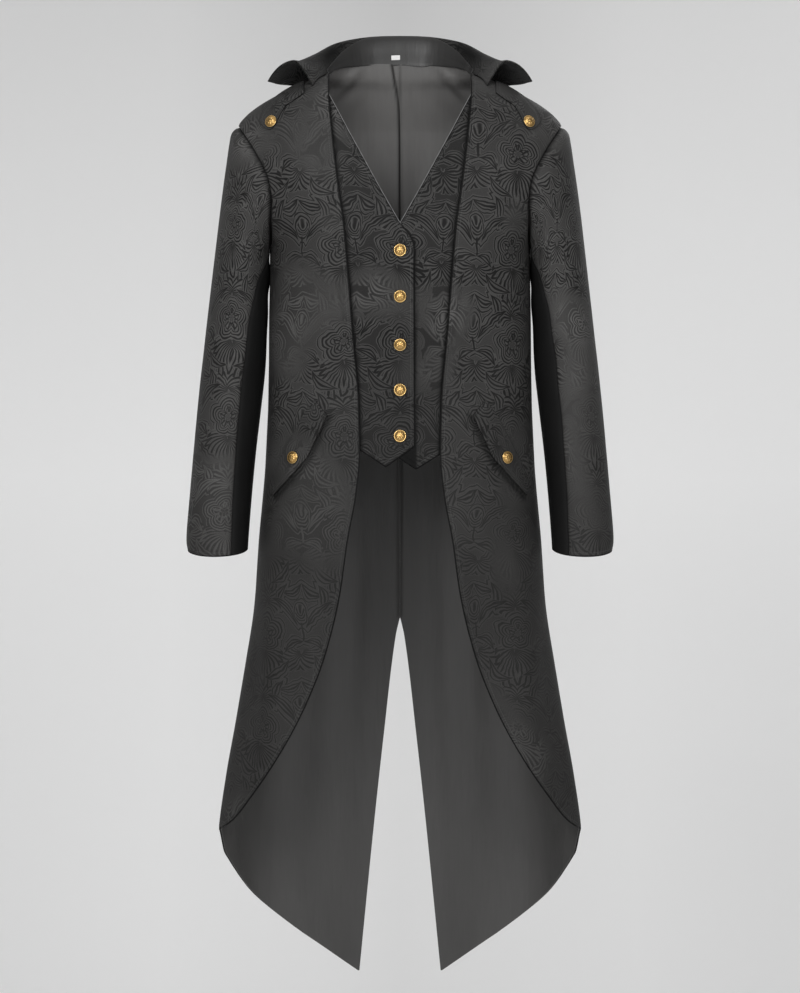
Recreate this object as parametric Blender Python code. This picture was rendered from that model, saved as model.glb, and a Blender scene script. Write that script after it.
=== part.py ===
"""Long cutaway tailcoat with a sewn-in waistcoat front, in its worn, hollow form.

Sizes are millimetres, turned into metres where a mesh is made. X runs to the
viewer's right, the front faces -Y and Z is up. The origin is the middle of the
neck opening, at the height of the shoulder neck points.

The body cloth follows one family of level rings. A point on a ring is found by
its turn: -90 degrees is the centre front, 0 is the side and 90 the centre back.
"""
import math
from collections import namedtuple
from functools import lru_cache

import bmesh
import bpy
from mathutils import Vector

MM = 0.001

# Cloth and seams
BROCADE = 1.5
LINING = 1.2
WAISTCOAT = 1.2
COLLAR = 2.0
FLAP = 1.6
LABEL = 0.8
SEAM = 0.3
LINING_GAP = 0.5
VEST_GAP = 1.2
FLAP_GAP = 0.9
TAB_GAP = 1.7

# Levels that divide the pattern
NECK_POINT = -8.0
SHOULDER_TIP = -80.0
ARMPIT = -250.0
FRONT_CORNER = -1042.0
CORNER_BLUNT = 3.0
TAIL_TIP = -1252.0
SPLIT_TOP = -756.0

# Armhole: half its height, and its reach in front of and behind the shoulder seam
ARM_MIDDLE = (SHOULDER_TIP + ARMPIT) / 2
ARM_HALF = (SHOULDER_TIP - ARMPIT) / 2
ARM_FRONT = 76.0
ARM_BACK = 80.0

# Mesh steps
NECK_ROWS = 6
SHOULDER_ROWS = 5
ARM_ROWS = 8
FRONT_SKIRT_ROWS = 15
BACK_WAIST_ROWS = 9
SPLIT_ROWS = 5
TAIL_ROWS = 9
TAIL_CROWDING = 1.5
FRONT_COLUMNS = 7
BACK_COLUMNS = 8
VEST_ROWS = 14
VEST_COLUMNS = 8
RUN_STEPS = 48
HALVINGS = 40
CLEARLY_SHORTER = 0.92
TURN_STEP = 0.4
LEVEL_STEP = 0.5
PLACE_STEP = 0.05
ACROSS_STEP = 0.03

# Rings of the body: half width, depth to the front and to the back of the side
# seam, and how square the ring is (2 is an ellipse)
Ring = namedtuple("Ring", "level half_width front back squareness")
RINGS = (
    Ring(13, 100, 40, 80, 2.2),
    Ring(-8, 100, 48, 85, 2.2),
    Ring(-22, 138, 62, 91, 2.25),
    Ring(-39, 170, 76, 97, 2.3),
    Ring(-54, 195, 86, 102, 2.35),
    Ring(-67, 211, 92, 106, 2.4),
    Ring(-80, 221, 97, 109, 2.4),
    Ring(-122, 229, 107, 114, 2.4),
    Ring(-165, 217, 114, 117, 2.4),
    Ring(-207, 198, 117, 118, 2.4),
    Ring(-250, 178, 118, 117, 2.4),
    Ring(-330, 179, 114, 105, 2.35),
    Ring(-430, 180, 105, 92, 2.3),
    Ring(-537, 184, 110, 106, 2.3),
    Ring(-647, 193, 116, 122, 2.3),
    Ring(-724, 198, 118, 129, 2.25),
    Ring(-808, 210, 118, 134, 2.2),
    Ring(-896, 223, 117, 138, 2.2),
    Ring(-972, 236, 115, 141, 2.15),
    Ring(-1042, 245, 112, 143, 2.1),
    Ring(-1100, 248, 110, 145, 2.1),
    Ring(-1252, 250, 108, 149, 2.1),
)

# Edges drawn on the body, as the distance from the centre plane at each level
Edge = namedtuple("Edge", "level reach")
FRONT_EDGE = (
    Edge(-8, 97), Edge(-43, 96), Edge(-99, 91), Edge(-175, 82), Edge(-215, 76),
    Edge(-283, 70), Edge(-371, 63), Edge(-460, 55.5), Edge(-530, 54), Edge(-585, 59),
    Edge(-645, 70), Edge(-721, 81), Edge(-804, 102), Edge(-872, 129), Edge(-945, 167),
    Edge(-1004, 209), Edge(-1042, 245),
)
SPLIT_EDGE = (
    Edge(-756, 0.2), Edge(-782, 6), Edge(-923, 23), Edge(-1042, 36), Edge(-1252, 57),
)
HEM_EDGE = (
    Edge(-1042, 245), Edge(-1074, 243), Edge(-1090, 238), Edge(-1105, 230), Edge(-1128, 212),
    Edge(-1148, 193), Edge(-1189, 147), Edge(-1220, 104), Edge(-1252, 59),
)
NECK_EDGE = (Edge(-8, 100), Edge(1, 92), Edge(8, 74), Edge(13, 34))

# Drape of the skirt: soft upright waves that grow towards the hem
WAVE_TOP = -520.0
WAVE_DEPTH = 5.5
WAVE_GROWTH = 1.3
WAVE_PITCH = 41.0

# Sleeve seams at the armhole, as turns round it (0 shoulder, 90 front, 180 armpit)
ARM_FRONT_SEAM = 157.5
ARM_BACK_SEAM = 135.0

# Sleeve rings: the points furthest from and nearest to the body, half the depth,
# the middle from front to back, how far the ring still bows in like the armhole,
# and the turns of the two seams (0 outside, 90 front, 180 inside)
SleeveRing = namedtuple(
    "SleeveRing", "outer_x outer_z inner_x inner_z depth middle bow front_seam back_seam")
SLEEVE_RINGS = (
    SleeveRing(232, -97, 180.8, -264, 75, 1, 0.62, 156, 140),
    SleeveRing(238.5, -137, 181.2, -280, 73, 2, 0.30, 148, 134),
    SleeveRing(245, -185, 181.5, -300, 70, 2, 0.10, 137, 128),
    SleeveRing(252, -243, 181.8, -328, 67, 2, 0.0, 126, 122),
    SleeveRing(260, -310, 182.2, -366, 63, 1, 0.0, 117, 118),
    SleeveRing(268, -380, 184.5, -415, 60, 0, 0.0, 112, 116),
    SleeveRing(275, -445, 190, -467, 56, -4, 0.0, 112, 115),
    SleeveRing(281, -512, 196.5, -525, 52, -9, 0.0, 114, 115),
    SleeveRing(286.5, -580, 202, -586, 47, -15, 0.0, 116, 115),
    SleeveRing(291, -641, 206, -641, 43, -21, 0.0, 119, 115),
    SleeveRing(289, -661, 207, -659, 42, -23, 0.0, 119, 115),
)
SLEEVE_GAP = 0.8
ARMPIT_GAP = 2.2
TOP_SLEEVE_COLUMNS = 13
UNDER_SLEEVE_COLUMNS = 6
CUFF_DROP = 9.0

# Collar sections, from the centre back to the front end: the neck seam in plan, the
# crest of the roll, the outer edge, and how much of the stand its lining covers
CollarSection = namedtuple("CollarSection", "neck crest edge lined")
COLLAR_SECTIONS = (
    CollarSection((0, 80), (0, 87, 52), (0, 107, -18), 0.94),
    CollarSection((41, 75), (45, 83, 50), (64, 101, -20), 0.88),
    CollarSection((76, 53), (86, 61, 40), (118, 83, -22), 0.42),
    CollarSection((94.5, 24), (109, 34, 28), (151, 56, -18), 0.16),
    CollarSection((102, -4), (126, 6, 18), (170, 24, -18), 0.10),
    CollarSection((110, -28), (138, -14, 11), (178, -3, -19), 0.0),
    CollarSection((119, -48), (145, -30, 7), (180, -24, -21), 0.0),
)
COLLAR_LIFT = 2.6
COLLAR_STEPS = 2
STAND_STEPS = 3
FALL_STEPS = 5
LINED_SECTIONS = 3.5
LINING_START = 0.04

# Bend of the collar: the handle of the stand's curve (its share along at the back, what
# the front end adds, its share of the rise) and the handle of the fall's curve
STAND_ALONG = 0.3
STAND_FORWARD = 0.3
STAND_RISE = 0.9
FALL_ALONG = 0.6
FALL_RISE = 0.06

# Waistcoat front: neck edge, lap past the centre and pointed lower edge
VEST_TOP = -36.0
VEST_FOOT = -519.0
VEST_POINT_RISE = 55.0
VEST_NECK = (Edge(-36, 98), Edge(-90, 70.5), Edge(-168, 28.5), Edge(-218, 0))
LAP_NECK = VEST_NECK + (Edge(-235, -14), Edge(-247, -19.5), Edge(-519, -20.5))
UNDER_NECK = VEST_NECK + (Edge(-235, -10), Edge(-260, -17), Edge(-519, -18))
VEST_OUTER = (Edge(-36, 128), Edge(-175, 117), Edge(-371, 98), Edge(-519, 88))
Foot = namedtuple("Foot", "reach level")
LAP_FOOT = (Foot(-20.5, -519), Foot(19, -548), Foot(51, -527), Foot(88, -507))
UNDER_FOOT = (Foot(-18, -525), Foot(22, -551), Foot(54, -531), Foot(88, -512))
LAP_DEPTH = BROCADE + VEST_GAP
UNDER_DIP = WAISTCOAT + LINING_GAP
DIP_START = 48.0
DIP_END = 26.0

# Pocket flap: sewn edge and free edge, each from the front end to the side end
FLAP_SEWN = ((115, -456), (133, -480), (148, -509), (162, -538), (176, -567))
FLAP_FREE = ((96.5, -478), (109, -504), (124, -535), (147, -562), (169, -586))
FLAP_ALONG = 8
FLAP_ACROSS = 3
FLAP_LIFT = 1.2

# Shoulder tab, from the collar outwards: distance from the centre plane, level of
# the front edge, and how far in front of the shoulder seam the back edge lies
TabRow = namedtuple("TabRow", "reach front_level back_depth")
TAB_ROWS = (
    TabRow(130, -40, 10), TabRow(143, -50, 12), TabRow(154, -58, 16), TabRow(161, -71, 21),
    TabRow(167, -88, 27), TabRow(174, -97, 36), TabRow(181, -96, 44), TabRow(187, -89, 51),
    TabRow(191, -80, 57),
)
TAB_ACROSS = 4

# Buttons
BUTTON_RADIUS = 8.4
BUTTON_HEIGHT = 5.2
BUTTON_SEGMENTS = 12
BUTTON_GAP = 0.6
BUTTON_PROFILE = (
    (0.0, 0.0), (0.86, 0.0), (1.0, 0.16), (1.0, 0.42), (0.86, 0.50), (0.55, 0.86), (0.0, 1.0),
)
VEST_BUTTON_LEVELS = (-256, -318, -383, -443.5, -505.5)
FLAP_BUTTON = (142.5, -534.5)
TAB_BUTTON = (173.5, -80)

# Blank size label inside the collar stand: its ends as shares of a collar section,
# and its lower and upper edge as shares of the stand
LABEL_ENDS = (-0.29, 0.0)
LABEL_EDGES = (0.06, 0.17)

BLACK = (0.032, 0.031, 0.030)
PLAIN_BLACK = (0.016, 0.016, 0.017)
GREY = (0.083, 0.083, 0.078)
BRASS = (0.83, 0.58, 0.20)
WHITE = (0.85, 0.85, 0.83)


def clear_scene():
    """Remove every object that the file opened with."""
    for item in list(bpy.data.objects):
        bpy.data.objects.remove(item, do_unlink=True)


def curve_value(rows, key, column, place):
    """Read a column of a table at a place between its rows, smoothly and with no overshoot."""
    ordered = sorted(rows, key=lambda row: getattr(row, key))
    places = [getattr(row, key) for row in ordered]
    values = [getattr(row, column) for row in ordered]
    if place <= places[0]:
        return values[0]
    if place >= places[-1]:
        return values[-1]
    index = max(i for i in range(len(places) - 1) if places[i] <= place)

    def rise(i):
        return (values[i + 1] - values[i]) / (places[i + 1] - places[i])

    def slope(i):
        if i == 0:
            return rise(0)
        if i == len(places) - 1:
            return rise(i - 1)
        before, after = rise(i - 1), rise(i)
        if before * after <= 0:
            return 0.0
        return 2 * before * after / (before + after)

    width = places[index + 1] - places[index]
    t = (place - places[index]) / width
    low, high = values[index], values[index + 1]
    return (
        low * (1 + 2 * t) * (1 - t) ** 2
        + high * (3 - 2 * t) * t ** 2
        + slope(index) * width * t * (1 - t) ** 2
        - slope(index + 1) * width * t ** 2 * (1 - t)
    )


def straight_value(rows, key, column, place):
    """Read a column of a table at a place between its rows, in straight runs."""
    ordered = sorted(rows, key=lambda row: getattr(row, key))
    for low, high in zip(ordered, ordered[1:]):
        if place <= getattr(high, key):
            t = (place - getattr(low, key)) / (getattr(high, key) - getattr(low, key))
            return getattr(low, column) + (getattr(high, column) - getattr(low, column)) * max(t, 0)
    return getattr(ordered[-1], column)


@lru_cache(maxsize=None)
def ring_at(level):
    """Work out the ring at a level."""
    return Ring(level, *(curve_value(RINGS, "level", name, level) for name in Ring._fields[1:]))


def wave(level, turn):
    """Give how far the drape pushes the skirt out or in at a place."""
    fall = min(max((WAVE_TOP - level) / (WAVE_TOP - TAIL_TIP), 0.0), 1.0)
    return WAVE_DEPTH * fall ** WAVE_GROWTH * math.cos(2 * math.pi * turn / WAVE_PITCH)


def power(value, exponent):
    """Raise the size of a value to a power and keep its sign."""
    return math.copysign(abs(value) ** exponent, value)


def body_point(level, turn, out=0.0):
    """Give a point of the body's outer face, moved out by a distance."""
    def bare(at_level, at_turn):
        ring = ring_at(at_level)
        angle = math.radians(at_turn)
        depth = ring.back if at_turn > 0 else ring.front
        x = ring.half_width * power(math.cos(angle), 2 / ring.squareness)
        y = depth * power(math.sin(angle), 2 / ring.squareness)
        return Vector((x, y, at_level))

    along = bare(level, turn + TURN_STEP) - bare(level, turn - TURN_STEP)
    upward = bare(level + LEVEL_STEP, turn) - bare(level - LEVEL_STEP, turn)
    normal = along.cross(upward).normalized()
    return bare(level, turn) + normal * (out + wave(level, turn))


def turn_at(level, reach, facing):
    """Give the turn at which one face of a ring is a distance from the centre plane."""
    ring = ring_at(level)
    share = min(abs(reach) / ring.half_width, 1.0)
    angle = math.degrees(math.acos(share ** (ring.squareness / 2)))
    if reach < 0:
        angle = 180 - angle
    return facing * angle


def arm_turn(level, facing):
    """Give the turn of the armhole's edge at a level, or 0 above and below the armhole."""
    height = (level - ARM_MIDDLE) / ARM_HALF
    if abs(height) >= 1:
        return 0.0
    ring = ring_at(level)
    reach, depth = (ARM_FRONT, ring.front) if facing < 0 else (ARM_BACK, ring.back)
    share = reach * math.sqrt(1 - height ** 2) / depth
    return facing * math.degrees(math.asin(share ** (ring.squareness / 2)))


def even_places(points, places, count, trim_start=0.0, trim_end=0.0):
    """Space places evenly by length along a run of points, less a strip at each end."""
    lengths = [0.0]
    for before, after in zip(points, points[1:]):
        lengths.append(lengths[-1] + (after - before).length)
    last = max(lengths[-1] - trim_end, trim_start + SEAM)
    spaced = []
    for step in range(count + 1):
        wanted = min(trim_start + (last - trim_start) * step / count, lengths[-1])
        index = max(i for i in range(len(lengths) - 1) if lengths[i] <= wanted)
        t = (wanted - lengths[index]) / max(lengths[index + 1] - lengths[index], 1e-9)
        spaced.append(places[index] + (places[index + 1] - places[index]) * t)
    return spaced


def row_turns(level, start, end, columns, trim_start=0.0, trim_end=0.0):
    """Space turns evenly along a ring, leaving a strip of cloth off at each end."""
    turns = spread(start, end, RUN_STEPS, whole=True)
    points = [body_point(level, turn) for turn in turns]
    return even_places(points, turns, columns, trim_start, trim_end)


def finish(name, colour, roughness, metallic=0.0):
    """Make the material of one piece."""
    material = bpy.data.materials.new(name + "_finish")
    material.use_nodes = True
    shader = material.node_tree.nodes["Principled BSDF"]
    shader.inputs["Base Color"].default_value = (*colour, 1.0)
    shader.inputs["Roughness"].default_value = roughness
    shader.inputs["Metallic"].default_value = metallic
    return material


def add_object(name, shape, material):
    """Turn a bmesh in millimetres into a named object in metres."""
    bmesh.ops.scale(shape, vec=(MM, MM, MM), verts=shape.verts)
    mesh = bpy.data.meshes.new(name)
    shape.to_mesh(mesh)
    shape.free()
    mesh.materials.append(material)
    mesh.shade_smooth()
    mesh.set_sharp_from_angle(angle=math.radians(40))
    item = bpy.data.objects.new(name, mesh)
    bpy.context.collection.objects.link(item)
    return item


def cloth(name, make_rows, outer, thickness, material, mirror=False):
    """Make a wall of cloth: its two faces come from make_rows at two distances out.

    Each cell is cut along the same diagonal in both faces, so the wall keeps its
    thickness where it bends both ways.
    """
    shape = bmesh.new()
    faces = []
    for out in (outer, outer - thickness):
        rows = make_rows(out)
        if mirror:
            rows = [[Vector((-point.x, point.y, point.z)) for point in row] for row in rows]
        faces.append([[shape.verts.new(point) for point in row] for row in rows])
    front, back = faces
    for row in range(len(front) - 1):
        for column in range(len(front[row]) - 1):
            crossed = leans_back(front, row, column)
            for verts in faces:
                corners = (
                    verts[row][column], verts[row + 1][column],
                    verts[row + 1][column + 1], verts[row][column + 1])
                if crossed:
                    corners = corners[1:] + corners[:1]
                shape.faces.new((corners[0], corners[1], corners[2]))
                shape.faces.new((corners[0], corners[2], corners[3]))
    for front_rim, back_rim in zip(rim(front), rim(back)):
        shape.faces.new((*front_rim, *reversed(back_rim)))
    bmesh.ops.recalc_face_normals(shape, faces=shape.faces)
    return add_object(name, shape, material)


def leans_back(verts, row, column):
    """Tell whether a cell is clearly shorter across its other diagonal."""
    usual = (verts[row][column].co - verts[row + 1][column + 1].co).length
    other = (verts[row + 1][column].co - verts[row][column + 1].co).length
    return other < usual * CLEARLY_SHORTER


def rim(rows):
    """List the pairs of points along the four edges of a grid of points."""
    sides = [
        rows[0], rows[-1],
        [row[0] for row in rows], [row[-1] for row in rows],
    ]
    return [pair for side in sides for pair in zip(side, side[1:])]


def both_sides(name, make_rows, outer, thickness, colour, roughness):
    """Make a piece for each side of the coat, named for the viewer's side."""
    for side, mirror in (("right", False), ("left", True)):
        piece = f"{name}_{side}"
        cloth(piece, make_rows, outer, thickness, finish(piece, colour, roughness), mirror)


def spread(start, end, count, whole=False):
    """Give evenly spaced values up to the end, with the start if the whole run is wanted."""
    values = [start + (end - start) * (i + 1) / count for i in range(count)]
    return [start] + values if whole else values


def upper_levels():
    """Give the levels from the neck point down to the armpit."""
    levels = spread(NECK_POINT, SHOULDER_TIP, SHOULDER_ROWS, whole=True)
    for row in range(1, ARM_ROWS + 1):
        levels.append(ARM_MIDDLE + ARM_HALF * math.cos(math.pi * row / ARM_ROWS))
    return levels


def front_rows(out):
    """Lay out the points of a coat front, from its edge to the side seam."""
    grid = []
    for level in upper_levels() + spread(ARMPIT, FRONT_CORNER + CORNER_BLUNT, FRONT_SKIRT_ROWS):
        start = turn_at(level, curve_value(FRONT_EDGE, "level", "reach", level), -1)
        turns = row_turns(level, start, arm_turn(level, -1), FRONT_COLUMNS, 0.0, SEAM / 2)
        grid.append([body_point(level, turn, out) for turn in turns])
    return grid


def back_levels():
    """Give the levels of a back panel, from the neck to the tip of the tail."""
    levels = []
    for row in range(NECK_ROWS):
        rise = (NECK_EDGE[-1].level - NECK_POINT) * math.cos(math.pi / 2 * row / NECK_ROWS)
        levels.append(NECK_POINT + rise)
    levels += upper_levels()
    levels += spread(ARMPIT, SPLIT_TOP, BACK_WAIST_ROWS)
    levels += spread(SPLIT_TOP, FRONT_CORNER, SPLIT_ROWS)
    for row in range(1, TAIL_ROWS + 1):
        share = (row / TAIL_ROWS) ** TAIL_CROWDING
        levels.append(FRONT_CORNER + (TAIL_TIP - FRONT_CORNER) * share)
    return levels


def back_rows(out):
    """Lay out the points of a back panel, from the side seam to the centre back."""
    grid = []
    for level in back_levels():
        start = arm_turn(level, 1)
        if level > NECK_POINT:
            start = turn_at(level, curve_value(NECK_EDGE, "level", "reach", level), 1)
        if level < FRONT_CORNER:
            start = turn_at(level, curve_value(HEM_EDGE, "level", "reach", level), 1)
        reach = SEAM / 2
        if level < SPLIT_TOP:
            reach = curve_value(SPLIT_EDGE, "level", "reach", level)
        end = turn_at(level, reach, 1)
        turns = row_turns(level, start, end, BACK_COLUMNS, SEAM / 2, 0.0)
        grid.append([body_point(level, turn, out) for turn in turns])
    return grid


def build_body():
    """Build the coat fronts, the backs and the lining of the backs."""
    both_sides("coat_front", front_rows, 0.0, BROCADE, BLACK, 0.55)
    both_sides("coat_back", back_rows, 0.0, BROCADE, BLACK, 0.55)
    both_sides("back_lining", back_rows, -BROCADE - LINING_GAP, LINING, GREY, 0.42)


def vest_rows(neck, foot, dips, out):
    """Lay out the points of a waistcoat front, from its centre edge to its outer edge."""
    grid = []
    for row in range(VEST_ROWS + 1):
        flat = VEST_TOP + (VEST_FOOT - VEST_TOP) * row / VEST_ROWS
        inner = straight_value(neck, "level", "reach", flat)
        outer = straight_value(VEST_OUTER, "level", "reach", flat)
        bend = min(max((VEST_FOOT + VEST_POINT_RISE - flat) / VEST_POINT_RISE, 0.0), 1.0)
        points = []
        for column in range(VEST_COLUMNS + 1):
            reach = inner + (outer - inner) * column / VEST_COLUMNS
            level = flat + bend * (straight_value(foot, "reach", "level", reach) - VEST_FOOT)
            dip = 0.0
            if dips and flat < VEST_NECK[2].level:
                dip = min(max((DIP_START - reach) / (DIP_START - DIP_END), 0.0), 1.0)
            points.append(body_point(level, turn_at(level, reach, -1), out - dip * UNDER_DIP))
        grid.append(points)
    return grid


def build_vest():
    """Build the lapped waistcoat front: the viewer's left side lies over the right."""
    def lap_rows(out):
        return vest_rows(LAP_NECK, LAP_FOOT, False, out)

    def under_rows(out):
        return vest_rows(UNDER_NECK, UNDER_FOOT, True, out)

    for name, make_rows, mirror in (("left", lap_rows, True), ("right", under_rows, False)):
        piece = f"vest_front_{name}"
        cloth(piece, make_rows, -LAP_DEPTH, WAISTCOAT, finish(piece, BLACK, 0.5), mirror)


def arm_point(turn):
    """Give a point of the armhole's edge; 0 is the shoulder, 90 the front, 180 the armpit."""
    angle = math.radians(turn)
    level = ARM_MIDDLE + ARM_HALF * math.cos(angle)
    facing = -1 if math.sin(angle) >= 0 else 1
    return body_point(level, arm_turn(level, facing))


def sleeve_point(row, turn):
    """Give a point of a sleeve row; row 0 is the armhole and the last row the cuff's edge."""
    angle = math.radians(turn)
    if row == 0:
        inside = (1 - math.cos(angle)) / 2
        gap = SLEEVE_GAP + (ARMPIT_GAP - SLEEVE_GAP) * inside ** 2
        return arm_point(turn) + Vector((gap, 0, 0))
    ring = SLEEVE_RINGS[row - 1]
    outer = Vector((ring.outer_x, ring.middle, ring.outer_z))
    inner = Vector((ring.inner_x, ring.middle, ring.inner_z))
    point = (outer + inner) / 2 + (outer - inner) / 2 * math.cos(angle)
    point.y -= ring.depth * math.sin(angle)
    straight = arm_point(180).lerp(arm_point(0), (1 + math.cos(angle)) / 2)
    point.x += ring.bow * (arm_point(turn).x - straight.x)
    if row == len(SLEEVE_RINGS):
        point.z -= CUFF_DROP * max(math.sin(angle), 0.0)
    return point


def sleeve_cloth_point(row, turn, out):
    """Give a point of a sleeve row moved out from the sleeve's outer face."""
    around = sleeve_point(row, turn + 1) - sleeve_point(row, turn - 1)
    above, below = max(row - 1, 0), min(row + 1, len(SLEEVE_RINGS))
    down = sleeve_point(below, turn) - sleeve_point(above, turn)
    return sleeve_point(row, turn) + around.cross(down).normalized() * out


def sleeve_rows(under, out):
    """Lay out a half of the sleeve: the top sleeve, or the under sleeve next to the body."""
    columns = UNDER_SLEEVE_COLUMNS if under else TOP_SLEEVE_COLUMNS
    grid = []
    for row in range(len(SLEEVE_RINGS) + 1):
        front_seam, back_seam, depth = ARM_FRONT_SEAM, ARM_BACK_SEAM, ARM_FRONT
        if row > 0:
            ring = SLEEVE_RINGS[row - 1]
            front_seam, back_seam, depth = ring.front_seam, ring.back_seam, ring.depth
        half_seam = math.degrees(SEAM / 2 / depth)
        start, end = -back_seam + half_seam, front_seam - half_seam
        if under:
            start, end = front_seam + half_seam, 360 - back_seam - half_seam
        turns = spread(start, end, columns, whole=True)
        grid.append([sleeve_cloth_point(row, turn, out) for turn in turns])
    return grid


def build_sleeves():
    """Build the two halves of each sleeve."""
    both_sides("top_sleeve", lambda out: sleeve_rows(False, out), 0.0, BROCADE, BLACK, 0.55)
    both_sides("under_sleeve", lambda out: sleeve_rows(True, out), 0.0, BROCADE, PLAIN_BLACK, 0.7)


def spline(points, place):
    """Give a point of a smooth curve through points, at a place counted in points."""
    index = min(int(place), len(points) - 2)
    t = place - index
    p1, p2 = points[index], points[index + 1]
    p0 = points[index - 1] if index else p1 * 2 - p2
    p3 = points[index + 2] if index + 2 < len(points) else p2 * 2 - p1
    return 0.5 * (
        2 * p1 + (p2 - p0) * t
        + (2 * p0 - 5 * p1 + 4 * p2 - p3) * t ** 2
        + (3 * p1 - p0 - 3 * p2 + p3) * t ** 3
    )


def collar_line(place, across):
    """Give a point of the collar: across 0 is the neck seam, 1 the crest and 2 the outer edge."""
    side = -1 if place < 0 else 1
    place = abs(place)
    last = len(COLLAR_SECTIONS) - 1
    neck = spline(all_round("neck"), place + last)
    crest = spline(all_round("crest"), place + last)
    edge = spline(all_round("edge"), place + last)
    reach = round(abs(neck.x), 3)
    shoulder = shoulder_level(reach, round(neck.y, 3))
    neck.z = min(shoulder, curve_value(NECK_EDGE, "reach", "level", reach)) + COLLAR_LIFT
    if across <= 1:
        start, end, t = neck, crest, across
        level_share = STAND_ALONG + STAND_FORWARD * min(place / last, 1.0)
        rise_share = STAND_RISE
    else:
        start, end, t = crest, edge, across - 1
        level_share, rise_share = FALL_ALONG, FALL_RISE
    handle = start + (end - start) * level_share
    handle.z = start.z + (end.z - start.z) * rise_share
    point = start * (1 - t) ** 2 + handle * 2 * t * (1 - t) + end * t ** 2
    return Vector((point.x * side, point.y, point.z))


def all_round(name):
    """List a column of the collar sections from one front end round to the other."""
    half = [Vector(getattr(section, name)).to_3d() for section in COLLAR_SECTIONS]
    other = [Vector((-point.x, point.y, point.z)) for point in reversed(half[1:])]
    return other + half


def collar_point(place, across, out):
    """Give a point of the collar moved out from its middle, away from the neck."""
    along = collar_line(place + PLACE_STEP, across) - collar_line(place - PLACE_STEP, across)
    upper, lower = min(across + ACROSS_STEP, 2), max(across - ACROSS_STEP, 0)
    over = collar_line(place, upper) - collar_line(place, lower)
    return collar_line(place, across) + over.cross(along).normalized() * out


def collar_rows(places, shares, out):
    """Lay out the points of the collar between a list of places and a list of shares."""
    return [[collar_point(place, share, out) for place in places] for share in shares]


def lining_rows(places, out):
    """Lay out the lining of the collar stand, which narrows towards the front."""
    rows = []
    for step in range(STAND_STEPS + 1):
        points = []
        for place in places:
            cover = spline([Vector((section.lined, 0)) for section in COLLAR_SECTIONS], abs(place)).x
            share = LINING_START + (cover - LINING_START) * step / STAND_STEPS
            points.append(collar_point(place, share, out))
        rows.append(points)
    return rows


def build_collar():
    """Build the rolled collar, the lining of its stand and the blank size label."""
    last = len(COLLAR_SECTIONS) - 1
    places = spread(-last, last, 2 * last * COLLAR_STEPS, whole=True)
    shares = spread(0, 1, STAND_STEPS, whole=True) + spread(1, 2, FALL_STEPS)
    material = finish("collar", BLACK, 0.5)
    cloth("collar", lambda out: collar_rows(places, shares, out), COLLAR / 2, COLLAR, material)

    inside = -COLLAR / 2 - LINING_GAP
    lined = [place for place in places if abs(place) <= LINED_SECTIONS]
    material = finish("collar_lining", GREY, 0.42)
    cloth("collar_lining", lambda out: lining_rows(lined, out), inside, LINING, material)

    face = inside - LINING - SEAM
    ends = spread(*LABEL_ENDS, 2, whole=True)
    material = finish("size_label", WHITE, 0.6)
    cloth("size_label", lambda out: collar_rows(ends, LABEL_EDGES, out), face, LABEL, material)


def outline_point(points, share):
    """Give the reach and level at a share of the way along an outline."""
    position = share * (len(points) - 1)
    index = min(int(position), len(points) - 2)
    return Vector(points[index]).lerp(Vector(points[index + 1]), position - index)


def flap_rows(out):
    """Lay the pocket flap on a coat front, from its sewn edge to its free edge."""
    grid = []
    for share in spread(0, 1, FLAP_ACROSS, whole=True):
        points = []
        for along in spread(0, 1, FLAP_ALONG, whole=True):
            spot = outline_point(FLAP_SEWN, along).lerp(outline_point(FLAP_FREE, along), share)
            turn = turn_at(spot.y, spot.x, -1)
            points.append(body_point(spot.y, turn, out + FLAP_LIFT * share))
        grid.append(points)
    return grid


@lru_cache(maxsize=None)
def shoulder_level(reach, depth):
    """Find how high the shoulder is at a place seen from above."""
    low, high = ARMPIT, RINGS[0].level
    for _ in range(HALVINGS):
        middle = (low + high) / 2
        ring = ring_at(middle)
        side = ring.back if depth > 0 else ring.front
        across = (reach / ring.half_width) ** ring.squareness
        if across + (abs(depth) / side) ** ring.squareness < 1:
            low = middle
        else:
            high = middle
    return low


def tab_rows(out):
    """Lay the shoulder tab over the front of the shoulder, from its back edge forward."""
    columns = []
    for row in TAB_ROWS:
        top = shoulder_level(row.reach, -row.back_depth)
        shares = spread(0, 1, RUN_STEPS, whole=True)
        levels = [top + (row.front_level - top) * share ** 2 for share in shares]
        points = [body_point(level, turn_at(level, row.reach, -1)) for level in levels]
        levels = even_places(points, levels, TAB_ACROSS)
        columns.append([body_point(level, turn_at(level, row.reach, -1), out) for level in levels])
    return [list(points) for points in zip(*columns)]


def build_trim():
    """Build the pocket flaps and the shoulder tabs."""
    both_sides("pocket_flap", flap_rows, FLAP_GAP + FLAP, FLAP, BLACK, 0.5)
    both_sides("shoulder_tab", tab_rows, TAB_GAP + FLAP, FLAP, BLACK, 0.5)


def button(name, seat, outward):
    """Build a domed metal button with a rim, standing on the cloth."""
    shape = bmesh.new()
    verts = [
        shape.verts.new((radius * BUTTON_RADIUS, 0, height * BUTTON_HEIGHT))
        for radius, height in BUTTON_PROFILE
    ]
    edges = [shape.edges.new(pair) for pair in zip(verts, verts[1:])]
    bmesh.ops.spin(
        shape, geom=verts + edges, cent=(0, 0, 0), axis=(0, 0, 1), dvec=(0, 0, 0),
        angle=2 * math.pi, steps=BUTTON_SEGMENTS, use_merge=True)
    bmesh.ops.remove_doubles(shape, verts=shape.verts, dist=0.01)
    bmesh.ops.recalc_face_normals(shape, faces=shape.faces)
    item = add_object(name, shape, finish(name, BRASS, 0.28, 1.0))
    item.location = (seat + outward * BUTTON_GAP) * MM
    item.rotation_euler = outward.to_track_quat("Z", "Y").to_euler()
    return item


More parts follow.
